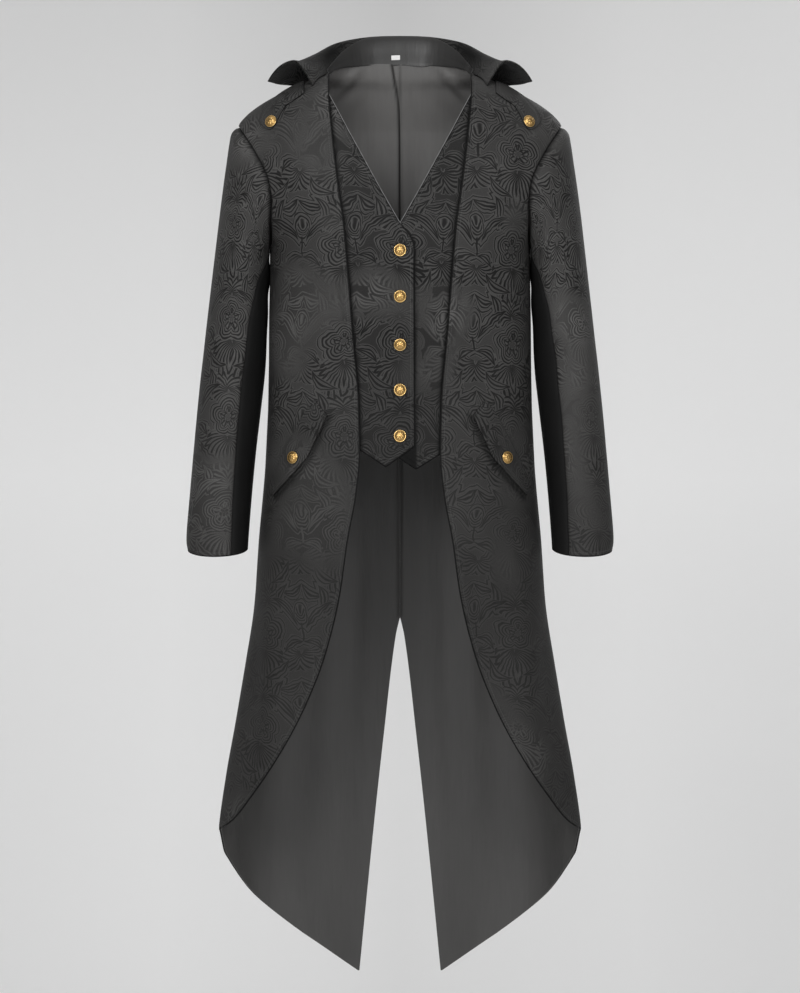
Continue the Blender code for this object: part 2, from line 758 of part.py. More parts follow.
def outward_at(level, turn):
    """Give the direction away from the body at a place."""
    return (body_point(level, turn, 1.0) - body_point(level, turn)).normalized()


def build_buttons():
    """Build the buttons of the waistcoat front, the pocket flaps and the shoulder tabs."""
    for number, level in enumerate(VEST_BUTTON_LEVELS, start=1):
        button(f"vest_button_{number}", body_point(level, -90, -LAP_DEPTH), outward_at(level, -90))
    spots = (
        ("flap_button", FLAP_BUTTON, FLAP_GAP + FLAP + FLAP_LIFT),
        ("tab_button", TAB_BUTTON, TAB_GAP + FLAP),
    )
    for name, (reach, level), height in spots:
        turn = turn_at(level, reach, -1)
        seat = body_point(level, turn, height)
        outward = outward_at(level, turn)
        for side, sign in (("right", 1), ("left", -1)):
            flip = Vector((sign, 1, 1))
            button(f"{name}_{side}", seat * flip, outward * flip)


def main():
    """Build the whole coat."""
    clear_scene()
    build_body()
    build_vest()
    build_sleeves()
    build_collar()
    build_trim()
    build_buttons()


main()
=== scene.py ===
"""Long cutaway tailcoat of figured black brocade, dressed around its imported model.

The forms are worked out in millimetres and turned into metres where a mesh is
made. X runs to the viewer's right, the front faces -Y and Z is up. The body
cloth follows level rings: a turn of -90 degrees is the centre front, 0 is the
side and 90 the centre back.
"""
import logging
import math
from dataclasses import dataclass, field
from enum import Enum
from typing import Any, Callable, NamedTuple, Sequence, TypeAlias

import bmesh
import bpy
import numpy as np
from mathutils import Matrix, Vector


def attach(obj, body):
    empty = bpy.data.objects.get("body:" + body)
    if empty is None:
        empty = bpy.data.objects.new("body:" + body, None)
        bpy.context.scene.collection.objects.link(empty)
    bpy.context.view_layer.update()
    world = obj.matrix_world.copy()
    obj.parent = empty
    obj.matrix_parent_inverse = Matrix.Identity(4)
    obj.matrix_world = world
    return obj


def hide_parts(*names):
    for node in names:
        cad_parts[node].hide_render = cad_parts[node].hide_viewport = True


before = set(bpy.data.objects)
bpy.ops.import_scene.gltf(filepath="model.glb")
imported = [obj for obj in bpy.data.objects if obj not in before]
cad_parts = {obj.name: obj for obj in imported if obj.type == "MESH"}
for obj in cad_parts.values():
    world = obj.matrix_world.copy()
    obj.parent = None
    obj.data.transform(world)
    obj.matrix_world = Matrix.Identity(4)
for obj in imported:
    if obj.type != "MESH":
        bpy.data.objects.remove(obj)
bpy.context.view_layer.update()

MM = 0.001
TRIM_REACH = 16.0  # millimetres from a finished edge that its stitching and shade may take up
LEAST_CUT = 0.0102  # metres, the least side of a declared cut, for turned-in ends
log = logging.getLogger("tailcoat")


class Side(Enum):
    """A side of the coat as the viewer sees it, with the sign of its X."""

    RIGHT = 1.0
    LEFT = -1.0

    @property
    def word(self) -> str:
        """Give the side's name as it stands in the names of the pieces."""
        return self.name.lower()


class Edge(NamedTuple):
    """Distance of a pattern edge from the centre plane at a level."""

    level: float
    reach: float


class Ring(NamedTuple):
    """Level ring of the body: half width, depths to front and back, squareness."""

    level: float
    half_width: float
    front: float
    back: float
    squareness: float


class SleeveRing(NamedTuple):
    """Ring of a sleeve, from its outermost to its innermost point."""

    outer_x: float
    outer_z: float
    inner_x: float
    inner_z: float
    depth: float
    middle: float
    bow: float
    front_seam: float
    back_seam: float


class CollarSection(NamedTuple):
    """Section of the collar: neck seam in plan, crest, outer edge, lined share."""

    neck: tuple[float, float]
    crest: tuple[float, float, float]
    edge: tuple[float, float, float]
    lined: float


class Fold(NamedTuple):
    """Soft trough in the cloth, from one place to another on the front or back."""

    start: tuple[float, float]
    end: tuple[float, float]
    width: float
    depth: float
    facing: float
    right: float
    left: float


# --------------------------------------------------------------------------
# Reading tables


def smooth_read(places: Sequence[float], values: Sequence[float], at: np.ndarray) -> np.ndarray:
    """Read a table smoothly between its rows, with no overshoot.

    Args:
        places: Where the rows stand.
        values: What each row holds.
        at: The places wanted.

    Returns:
        The values at those places.
    """
    order = np.argsort(places)
    x, y = np.asarray(places, float)[order], np.asarray(values, float)[order]
    rise = np.diff(y) / np.diff(x)
    before, after = rise[:-1], rise[1:]
    together = np.where(before * after > 0, before + after, 1.0)
    middle = np.where(before * after > 0, 2 * before * after / together, 0.0)
    slope = np.concatenate([rise[:1], middle, rise[-1:]])
    at = np.clip(np.asarray(at, float), x[0], x[-1])
    i = np.clip(np.searchsorted(x, at, side="right") - 1, 0, len(x) - 2)
    width = x[i + 1] - x[i]
    t = (at - x[i]) / width
    return (
        y[i] * (1 + 2 * t) * (1 - t) ** 2
        + y[i + 1] * (3 - 2 * t) * t ** 2
        + slope[i] * width * t * (1 - t) ** 2
        - slope[i + 1] * width * t ** 2 * (1 - t)
    )


def edge_reach(edges: Sequence[Edge], level: np.ndarray) -> np.ndarray:
    """Give how far an edge lies from the centre plane at each level."""
    return smooth_read([e.level for e in edges], [e.reach for e in edges], level)


def straight_reach(edges: Sequence[Edge], level: np.ndarray) -> np.ndarray:
    """Give an edge's distance from the centre plane where it runs in straight lines."""
    ordered = sorted(edges)
    return np.interp(level, [e.level for e in ordered], [e.reach for e in ordered])


def spline(points: np.ndarray, places: np.ndarray) -> np.ndarray:
    """Read a smooth curve through points.

    Args:
        points: The points, first axis along the curve.
        places: Places counted in points.

    Returns:
        The points of the curve, first axis along the places.
    """
    last = len(points) - 1
    i = np.clip(np.floor(places).astype(int), 0, last - 1)
    t = (places - i).reshape(-1, *([1] * (points.ndim - 1)))
    p1, p2 = points[i], points[i + 1]
    p0 = np.where((i > 0).reshape(t.shape), points[np.maximum(i - 1, 0)], 2 * p1 - p2)
    p3 = np.where((i + 2 <= last).reshape(t.shape), points[np.minimum(i + 2, last)], 2 * p2 - p1)
    return 0.5 * (
        2 * p1 + (p2 - p0) * t
        + (2 * p0 - 5 * p1 + 4 * p2 - p3) * t ** 2
        + (3 * p1 - p0 - 3 * p2 + p3) * t ** 3
    )


def read_grid(grid: np.ndarray, row: np.ndarray, column: np.ndarray) -> np.ndarray:
    """Read a grid between its rows and its columns.

    Args:
        grid: The grid.
        row: Places counted in rows.
        column: Places counted in columns.

    Returns:
        The values at those places.
    """
    low = np.clip(row.astype(int), 0, grid.shape[0] - 2)
    left = np.clip(column.astype(int), 0, grid.shape[1] - 2)
    s, t = row - low, column - left
    lower = grid[low, left] * (1 - t) + grid[low, left + 1] * t
    upper = grid[low + 1, left] * (1 - t) + grid[low + 1, left + 1] * t
    return lower * (1 - s) + upper * s


def bent_line(points: Sequence[tuple[float, float]], places: np.ndarray) -> np.ndarray:
    """Read a line that runs straight from point to point."""
    numbers = range(len(points))
    return np.stack([np.interp(places, numbers, column) for column in zip(*points)], -1)


def unit(vectors: np.ndarray) -> np.ndarray:
    """Scale vectors to a length of 1."""
    return vectors / np.maximum(np.linalg.norm(vectors, axis=-1, keepdims=True), 1e-12)


def run_lengths(points: np.ndarray, axis: int) -> np.ndarray:
    """Add up the distance from the first point along an axis of a grid of points.

    Args:
        points: Grid of points.
        axis: Axis of the grid to go along.

    Returns:
        The distance up to each point.
    """
    steps = np.linalg.norm(np.diff(points, axis=axis), axis=-1)
    start = np.zeros_like(np.take(steps, [0], axis=axis))
    return np.concatenate([start, np.cumsum(steps, axis=axis)], axis=axis)


# --------------------------------------------------------------------------
# The form of the body


BODY_RINGS = (
    Ring(13, 100, 40, 80, 2.2), Ring(-8, 100, 48, 85, 2.2), Ring(-22, 138, 62, 91, 2.25),
    Ring(-39, 170, 76, 97, 2.3), Ring(-54, 195, 86, 102, 2.35), Ring(-67, 211, 92, 106, 2.4),
    Ring(-80, 221, 97, 109, 2.4), Ring(-122, 229, 107, 114, 2.4), Ring(-165, 217, 114, 117, 2.4),
    Ring(-207, 198, 117, 118, 2.4), Ring(-250, 178, 118, 117, 2.4), Ring(-330, 179, 114, 105, 2.35),
    Ring(-430, 180, 105, 92, 2.3), Ring(-537, 184, 110, 106, 2.3), Ring(-647, 193, 116, 122, 2.3),
    Ring(-724, 198, 118, 129, 2.25), Ring(-808, 210, 118, 134, 2.2), Ring(-896, 223, 117, 138, 2.2),
    Ring(-972, 236, 115, 141, 2.15), Ring(-1042, 245, 112, 143, 2.1),
    Ring(-1100, 248, 110, 145, 2.1), Ring(-1252, 250, 108, 149, 2.1),
)

BODY_FOLDS = (
    Fold((99, -38), (58, 4), 8, 3.4, 1, 1.0, 0.8),
    Fold((90, -60), (48, -20), 12, 1.0, 1, 0.8, 1.0),
    Fold((93, -270), (58, -458), 7, 1.9, -1, 1.0, 1.0),
    Fold((178, -84), (160, -150), 13, 1.9, -1, 1.0, 0.8),
    Fold((196, -100), (150, -205), 20, 1.7, -1, 0.7, 1.0),
    Fold((120, -262), (168, -300), 20, 1.4, -1, 0.8, 0.6),
    Fold((172, -300), (120, -360), 24, 1.3, -1, 0.5, 0.8),
    Fold((150, -420), (92, -450), 22, 1.2, -1, 1.0, 0.7),
    Fold((176, -470), (118, -500), 24, 1.4, -1, 0.6, 0.9),
    Fold((150, -600), (140, -900), 30, 2.6, -1, 1.0, 0.8),
    Fold((205, -720), (196, -980), 22, 2.2, -1, 0.8, 1.0),
    Fold((100, -620), (112, -820), 18, 1.6, -1, 0.7, 1.0),
    Fold((192, -90), (120, -160), 22, 2.0, 1, 1.0, 0.8),
    Fold((168, -190), (60, -240), 26, 1.6, 1, 0.7, 1.0),
    Fold((160, -330), (40, -400), 26, 2.0, 1, 1.0, 0.6),
    Fold((172, -400), (60, -440), 20, 1.7, 1, 0.6, 1.0),
    Fold((168, -470), (50, -455), 20, 1.5, 1, 0.9, 0.7),
    Fold((60, -520), (80, -1150), 30, 3.2, 1, 1.0, 0.9),
    Fold((120, -540), (150, -1100), 34, 3.4, 1, 0.9, 1.0),
    Fold((175, -560), (205, -1050), 26, 2.6, 1, 1.0, 0.8),
)


FLAP_FREE = ((96.5, -478), (109, -504), (124, -535), (147, -562), (169, -586))


@dataclass
class BodyForm:
    """The worn shape of the body cloth, with its drape and creases."""

    rings: tuple[Ring, ...] = BODY_RINGS
    folds: tuple[Fold, ...] = BODY_FOLDS
    shoulder_tip: float = -80.0
    armpit: float = -250.0
    arm_front: float = 76.0
    arm_back: float = 80.0
    wave_top: float = -520.0
    wave_depth: float = 5.5
    wave_growth: float = 1.3
    wave_pitch: float = 41.0
    thread_step: float = 3.0
    turn_count: int = 181
    columns: dict[str, tuple[float, ...]] = field(init=False)
    threads: dict[float, tuple[np.ndarray, np.ndarray, np.ndarray]] = field(init=False)

    def __post_init__(self) -> None:
        """Keep the table's columns, and measure the cloth down its upright threads."""
        self.columns = {
            name: tuple(getattr(ring, name) for ring in self.rings) for name in Ring._fields
        }
        self.threads = {facing: self._measure_threads(facing) for facing in (-1.0, 1.0)}

    @property
    def arm_middle(self) -> float:
        """Give the level of the armhole's middle."""
        return (self.shoulder_tip + self.armpit) / 2

    @property
    def arm_half(self) -> float:
        """Give half the armhole's height."""
        return (self.shoulder_tip - self.armpit) / 2

    def column(self, name: str, level: np.ndarray) -> np.ndarray:
        """Read a column of the rings at levels."""
        return smooth_read(self.columns["level"], self.columns[name], level)

    def bare(self, level: np.ndarray, turn: np.ndarray) -> np.ndarray:
        """Give points of the smooth form.

        Args:
            level: Heights.
            turn: Turns in degrees.

        Returns:
            The points, with X, Y and Z on the last axis.
        """
        level, turn = np.broadcast_arrays(np.asarray(level, float), np.asarray(turn, float))
        angle = np.radians(turn)
        depth = np.where(turn > 0, self.column("back", level), self.column("front", level))
        power = 2 / self.column("squareness", level)
        across, along = np.cos(angle), np.sin(angle)
        x = self.column("half_width", level) * np.sign(across) * np.abs(across) ** power
        y = depth * np.sign(along) * np.abs(along) ** power
        return np.stack([x, y, level], axis=-1)

    def outward(self, level: np.ndarray, turn: np.ndarray) -> np.ndarray:
        """Give the directions away from the body.

        Args:
            level: Heights.
            turn: Turns in degrees.

        Returns:
            Directions of length 1.
        """
        along = self.bare(level, np.add(turn, 0.4)) - self.bare(level, np.subtract(turn, 0.4))
        upward = self.bare(np.add(level, 0.5), turn) - self.bare(np.subtract(level, 0.5), turn)
        return unit(np.cross(along, upward))

    def relief(self, level: np.ndarray, turn: np.ndarray, side: Side) -> np.ndarray:
        """Give how far the drape and the creases push the cloth outwards.

        Args:
            level: Heights.
            turn: Turns in degrees.
            side: The side of the coat.

        Returns:
            The distances, less than 0 in a trough.
        """
        bare = self.bare(level, turn)
        whole = self.wave_top - self.rings[-1].level
        fall = np.clip((self.wave_top - bare[..., 2]) / whole, 0, 1)
        wave = np.cos(2 * np.pi * turn / self.wave_pitch)
        total = self.wave_depth * fall ** self.wave_growth * wave
        for fold in self.folds:
            share = fold.right if side is Side.RIGHT else fold.left
            start, end = np.array(fold.start), np.array(fold.end)
            run = end - start
            offset = bare[..., [0, 2]] - start
            t = np.clip((offset @ run) / (run @ run), 0, 1)
            off = np.linalg.norm(offset - t[..., None] * run, axis=-1) / fold.width
            taper = np.sin(np.pi * np.clip(t, 0.02, 0.98)) ** 0.6
            here = 1 / (1 + np.exp(-np.asarray(turn) * fold.facing / 4))
            total = total - share * fold.depth * taper * here * (1 - off ** 2) * np.exp(-off ** 2)
        return total

    def point(
        self, level: np.ndarray, turn: np.ndarray, out: np.ndarray | float, side: Side
    ) -> np.ndarray:
        """Give points of a layer of cloth a distance out from the form.

        Args:
            level: Heights.
            turn: Turns in degrees.
            out: Distances out from the form.
            side: The side of the coat.

        Returns:
            The points.
        """
        push = np.asarray(out) + self.relief(level, turn, side)
        return self.bare(level, turn) + self.outward(level, turn) * push[..., None]

    def turn_at(self, level: np.ndarray, reach: np.ndarray, facing: float) -> np.ndarray:
        """Give the turns at which one face is a distance from the centre plane.

        Args:
            level: Heights.
            reach: Distances from the centre plane.
            facing: -1 for the front and 1 for the back.

        Returns:
            The turns in degrees.
        """
        share = np.minimum(np.abs(reach) / self.column("half_width", level), 1.0)
        turn = np.degrees(np.arccos(share ** (self.column("squareness", level) / 2)))
        return facing * np.where(np.asarray(reach) < 0, 180 - turn, turn)

    def arm_turn(self, level: np.ndarray, facing: float) -> np.ndarray:
        """Give the turns of the armhole's edge.

        Args:
            level: Heights.
            facing: -1 for the front and 1 for the back.

        Returns:
            The turns in degrees, 0 above and below the armhole.
        """
        height = np.clip((level - self.arm_middle) / self.arm_half, -1, 1)
        reach, name = (self.arm_front, "front") if facing < 0 else (self.arm_back, "back")
        share = reach * np.sqrt(1 - height ** 2) / self.column(name, level)
        return facing * np.degrees(np.arcsin(share ** (self.column("squareness", level) / 2)))

    def arcs(self, levels: np.ndarray, facing: float) -> tuple[np.ndarray, np.ndarray]:
        """Measure each ring from the centre of one face to the side.

        Args:
            levels: Heights of the rings.
            facing: -1 for the front and 1 for the back.

        Returns:
            The turns that were measured, and the length up to each, one row a level.
        """
        turns = facing * np.linspace(90, 0, self.turn_count)
        return turns, run_lengths(self.bare(levels[:, None], turns[None, :]), 1)

    def _measure_threads(self, facing: float) -> tuple[np.ndarray, np.ndarray, np.ndarray]:
        """Measure how far down the cloth each place is, along its upright threads.

        Args:
            facing: -1 for the front and 1 for the back.

        Returns:
            Levels, distances across, and the length of cloth up to each from the armpit.
        """
        top, bottom = self.rings[0].level, self.rings[-1].level
        levels = np.linspace(bottom, top, int((top - bottom) / self.thread_step) + 1)
        turns, arcs = self.arcs(levels, facing)
        across = np.arange(0, arcs.max(), self.thread_step)
        places = np.stack([np.interp(across, arc, turns) for arc in arcs])
        lengths = run_lengths(self.bare(levels[:, None], places), 0)
        armpit = np.argmin(np.abs(levels - self.armpit))
        return levels, across, lengths - lengths[armpit]

    def thread_place(self, level: np.ndarray, turn: np.ndarray) -> np.ndarray:
        """Give where places of the form lie in the flat cloth.

        Args:
            level: Heights.
            turn: Turns in degrees, all on one face.

        Returns:
            Distances across from the centre and up from the armpit level.
        """
        facing = 1.0 if np.mean(turn) > 0 else -1.0
        flat_level, flat_turn = np.ravel(level), np.ravel(turn)
        levels, across, lengths = self.threads[facing]
        turns, arcs = self.arcs(levels, facing)
        row = np.interp(flat_level, levels, np.arange(len(levels)))
        column = np.interp(
            np.minimum(np.abs(flat_turn), 90), np.abs(turns[::-1]), np.arange(len(turns))[::-1])
        u = read_grid(arcs, row, column)
        v = read_grid(lengths, row, np.interp(u, across, np.arange(len(across))))
        past = self.column("half_width", flat_level) * np.abs(
            np.cos(np.radians(flat_turn))) ** (2 / self.column("squareness", flat_level))
        u = np.where(np.abs(flat_turn) > 90, -past, u)
        return np.stack([u, v], axis=-1).reshape(*np.shape(level), 2)

    def shoulder_level(self, reach: np.ndarray, depth: np.ndarray) -> np.ndarray:
        """Find how high the form is at places seen from above.

        Args:
            reach: Distances from the centre plane.
            depth: Distances behind the side, less than 0 in front.

        Returns:
            The heights.
        """
        reach, depth = np.broadcast_arrays(np.asarray(reach, float), np.asarray(depth, float))
        low = np.full(reach.shape, self.armpit)
        high = np.full(reach.shape, self.rings[0].level)
        for _ in range(30):
            middle = (low + high) / 2
            side = np.where(depth > 0, self.column("back", middle), self.column("front", middle))
            square = self.column("squareness", middle)
            size = (reach / self.column("half_width", middle)) ** square
            inside = size + (np.abs(depth) / side) ** square < 1
            low, high = np.where(inside, middle, low), np.where(inside, high, middle)
        return low


# --------------------------------------------------------------------------
# Cutting and laying cloth


def stations(lengths: np.ndarray, count: int, near: Sequence[float]) -> np.ndarray:
    """Space the columns of a panel, closer together along its two edges.

    Args:
        lengths: Length of each row.
        count: Columns between the crowded ones.
        near: Distances of the crowded columns from an edge, from 0 up.

    Returns:
        Distances from the start of each row, one row a row of the panel.
    """
    near = np.asarray(near, float)
    rows = []
    for length in lengths:
        scale = min(1.0, length / (2.5 * near[-1]))
        low = near * scale
        middle = np.linspace(low[-1], length - low[-1], count + 2)[1:-1]
        rows.append(np.concatenate([low, middle, (length - low)[::-1]]))
    return np.array(rows)


def edge_places(points: np.ndarray, line: np.ndarray, limit: float) -> np.ndarray:
    """Measure places against a finished edge.

    Args:
        points: Grid of points.
        line: Points along the edge.
        limit: Distance past which nothing is measured.

    Returns:
        Length along the edge and distance from it, for each point.
    """
    run = run_lengths(line, 0)
    fine = np.arange(0, run[-1], 1.0)
    dense = np.stack([np.interp(fine, run, line[:, k]) for k in range(3)], axis=-1)
    flat = points.reshape(-1, 3)
    result = np.stack([np.zeros(len(flat)), np.full(len(flat), limit)], axis=-1)
    coarse = line[:: max(len(line) // 60, 1)]
    spacing = np.linalg.norm(np.diff(coarse, axis=0), axis=1).max() if len(coarse) > 1 else 0
    for first in range(0, len(flat), 4000):
        part = flat[first:first + 4000]
        rough = np.sqrt(((part[:, None] - coarse[None]) ** 2).sum(-1)).min(1)
        chosen = np.nonzero(rough < limit + spacing)[0]
        if len(chosen) == 0:
            continue
        distance = np.sqrt(((part[chosen][:, None] - dense[None]) ** 2).sum(-1))
        nearest = distance.argmin(1)
        result[first + chosen, 0] = fine[nearest]
        result[first + chosen, 1] = np.minimum(distance[np.arange(len(chosen)), nearest], limit)
    return result.reshape(*points.shape[:-1], 2)


@dataclass
class Panel:
    """Grid of cloth ready to be laid: its points, its place in the bolt, its trim and its painted
    shade.
    """

    points: np.ndarray
    threads: np.ndarray
    trim: np.ndarray | None = None
    # painted shade, from 0 to 1, that darkens the colour
    pressed: np.ndarray | None = None

    def mirrored(self, side: Side) -> "Panel":
        """Give the panel for a side, turned over for the viewer's left.

        Args:
            side: The side of the coat.

        Returns:
            The panel on that side.
        """
        flip = np.array([side.value, 1, 1])
        threads = self.threads * np.array([side.value, 1])
        return Panel(self.points * flip, threads, self.trim, self.pressed)

    def measure_trim(self, *edges: np.ndarray) -> None:
        """Measure the cloth against its finished edges, taken end to end."""
        self.trim = edge_places(self.points, np.concatenate(edges), TRIM_REACH)

    def flat_size(self) -> tuple[float, float, float]:
        """Measure the cut.

        Returns:
            Its width, its length and its area, in metres.
        """
        across, up = (np.ptp(self.threads[..., k]) * MM for k in (0, 1))
        one = self.points[1:, 1:] - self.points[:-1, :-1]
        two = self.points[:-1, 1:] - self.points[1:, :-1]
        area = np.linalg.norm(np.cross(one, two), axis=-1).sum() / 2 * MM * MM
        return float(across), float(up), float(area)


Push: TypeAlias = Callable[[np.ndarray, np.ndarray], np.ndarray]


class Backing(Enum):
    """Side of a panel's points on which its thickness lies."""

    INSIDE = -1.0
    MIDDLE = 0.0
    OUTSIDE = 1.0


def lay_cloth(
    name: str, panel: Panel, outward: Sequence[float], thickness: float,
    materials: Sequence[bpy.types.Material], backing: Backing = Backing.INSIDE,
) -> bpy.types.Object:
    """Make a piece of cloth from a panel.

    Args:
        name: Name of the piece.
        panel: The grid of cloth.
        outward: Direction that its face looks in at its middle.
        thickness: Thickness of the cloth in millimetres.
        materials: Finish of the face, and of the back where it differs.
        backing: Where the thickness lies.

    Returns:
        The piece.
    """
    rows, columns = panel.points.shape[:2]
    shape = bmesh.new()
    bmesh.ops.create_grid(shape, x_segments=columns - 1, y_segments=rows - 1, size=1.0)
    mesh = bpy.data.meshes.new(name)
    shape.to_mesh(mesh)
    shape.free()
    count = len(mesh.vertices)
    raw = np.zeros(count * 3)
    mesh.vertices.foreach_get("co", raw)
    raw = raw.reshape(-1, 3)
    column = np.rint((raw[:, 0] + 1) / 2 * (columns - 1)).astype(int)
    row = np.rint((1 - raw[:, 1]) / 2 * (rows - 1)).astype(int)
    placed = panel.points[row, column] * MM
    mesh.vertices.foreach_set("co", placed.ravel())
    corners = np.zeros(len(mesh.loops), int)
    mesh.loops.foreach_get("vertex_index", corners)
    for layer, grid in (("cloth", panel.threads), ("trim", panel.trim)):
        if grid is not None:
            places = (grid[row, column] * MM)[corners]
            mesh.uv_layers.new(name=layer).data.foreach_set("uv", places.ravel())
    # the painted shade goes onto the mesh for the materials to darken the colour by
    if panel.pressed is not None:
        dark = mesh.attributes.new("pressed", "FLOAT", "POINT")
        dark.data.foreach_set("value", panel.pressed[row, column])
    mesh.update()
    middle = mesh.polygons[len(mesh.polygons) // 2 + columns // 2]
    if middle.normal.dot(Vector(outward)) < 0:
        mesh.flip_normals()
    mesh.shade_smooth()
    for material in materials:
        mesh.materials.append(material)
    piece = bpy.data.objects.new(name, mesh)
    bpy.context.collection.objects.link(piece)
    wall = piece.modifiers.new("wall", "SOLIDIFY")
    wall.thickness = thickness * MM
    wall.offset = backing.value
    wall.use_quality_normals = True
    wall.material_offset = len(materials) - 1
    soft = piece.modifiers.new("rim", "BEVEL")
    soft.width = thickness * 0.3 * MM
    soft.segments = 2
    soft.limit_method = "ANGLE"
    soft.angle_limit = math.radians(60)
    return piece


def hand_over(piece: bpy.types.Object, node: str) -> None:
    """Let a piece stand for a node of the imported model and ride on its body.

    Args:
        piece: The piece.
        node: Node that it stands for.
    """
    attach(piece, "root")
    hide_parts(node)
    log.info("made %s for %s", piece.name, node)


def declare_cut(
    piece: bpy.types.Object, panel: Panel
) -> None:
    """State the flat cut that a piece of cloth was made from.

    Args:
        piece: The piece.
        panel: The grid of cloth.
    """
    across, up, area = panel.flat_size()
    across, up = max(across, LEAST_CUT), max(up, LEAST_CUT)
    area = min(area, across * up)
    log.info("%s cut from %.3f x %.3f m, %.4f m2", piece.name, across, up, area)


def sew(
    name: str, node: str, panel: Panel, outward: Sequence[float], thickness: float,
    materials: Sequence[bpy.types.Material],
    backing: Backing = Backing.INSIDE,
) -> None:
    """Make a piece of cloth, hand it over and state its cut.

    Args:
        name: Name of the piece.
        node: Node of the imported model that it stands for.
        panel: The grid of cloth.
        outward: Direction that its face looks in at its middle.
        thickness: Thickness of the cloth in millimetres.
        materials: Finish of the face, and of the back where it differs.
        backing: Where the thickness lies.
    """
    piece = lay_cloth(name, panel, outward, thickness, materials, backing)
    hand_over(piece, node)
    declare_cut(piece, panel)


# --------------------------------------------------------------------------
# Shader arithmetic


Number: TypeAlias = "Value | float"


@dataclass(frozen=True)
class Value:
    """A socket that carries a number, with arithmetic that adds Math nodes."""

    bench: "Bench"
    socket: bpy.types.NodeSocket

    def math(self, operation: str, *others: Number, clamp: bool = False) -> "Value":
        """Add a Math node that starts with this value."""
        settings = {"operation": operation, "use_clamp": clamp}
        return self.bench.value("ShaderNodeMath", settings, dict(enumerate((self, *others))))

    def __add__(self, other: Number) -> "Value":
        """Add."""
        return self.math("ADD", other)

    def __radd__(self, other: Number) -> "Value":
        """Add from the right."""
        return self.math("ADD", other)

    def __sub__(self, other: Number) -> "Value":
        """Subtract."""
        return self.math("SUBTRACT", other)

    def __rsub__(self, other: Number) -> "Value":
        """Subtract from a number."""
        return self.bench.number_first("SUBTRACT", other, self)

    def __mul__(self, other: Number) -> "Value":
        """Multiply."""
        return self.math("MULTIPLY", other)

    def __rmul__(self, other: Number) -> "Value":
        """Multiply from the right."""
        return self.math("MULTIPLY", other)

    def __truediv__(self, other: Number) -> "Value":
        """Divide."""
        return self.math("DIVIDE", other)

    def __rtruediv__(self, other: Number) -> "Value":
        """Divide a number."""
        return self.bench.number_first("DIVIDE", other, self)

    def __pow__(self, other: Number) -> "Value":
        """Raise to a power."""
        return self.math("POWER", other)

    def __abs__(self) -> "Value":
        """Drop the sign."""
        return self.math("ABSOLUTE")

    def sine(self) -> "Value":
        """Give the sine of an angle in radians."""
        return self.math("SINE")

    def fraction(self) -> "Value":
        """Give what is left over from a whole number."""
        return self.math("FRACT")

    def wrapped(self, half: float) -> "Value":
        """Bring a distance into the run from minus half to half."""
        return self.math("WRAP", half, -half)

    def least(self, other: Number) -> "Value":
        """Give the smaller of two."""
        return self.math("MINIMUM", other)

    def most(self, other: Number) -> "Value":
        """Give the larger of two."""
        return self.math("MAXIMUM", other)

    def clamped(self) -> "Value":
        """Keep between 0 and 1."""
        return self.math("ADD", 0.0, clamp=True)

    def within(self, half: Number, soft: float = 0.7) -> "Value":
        """Give 1 where a distance is under half, easing to 0 over a soft edge."""
        return ((half - self) * (1 / soft)).math("ADD", 0.5, clamp=True)


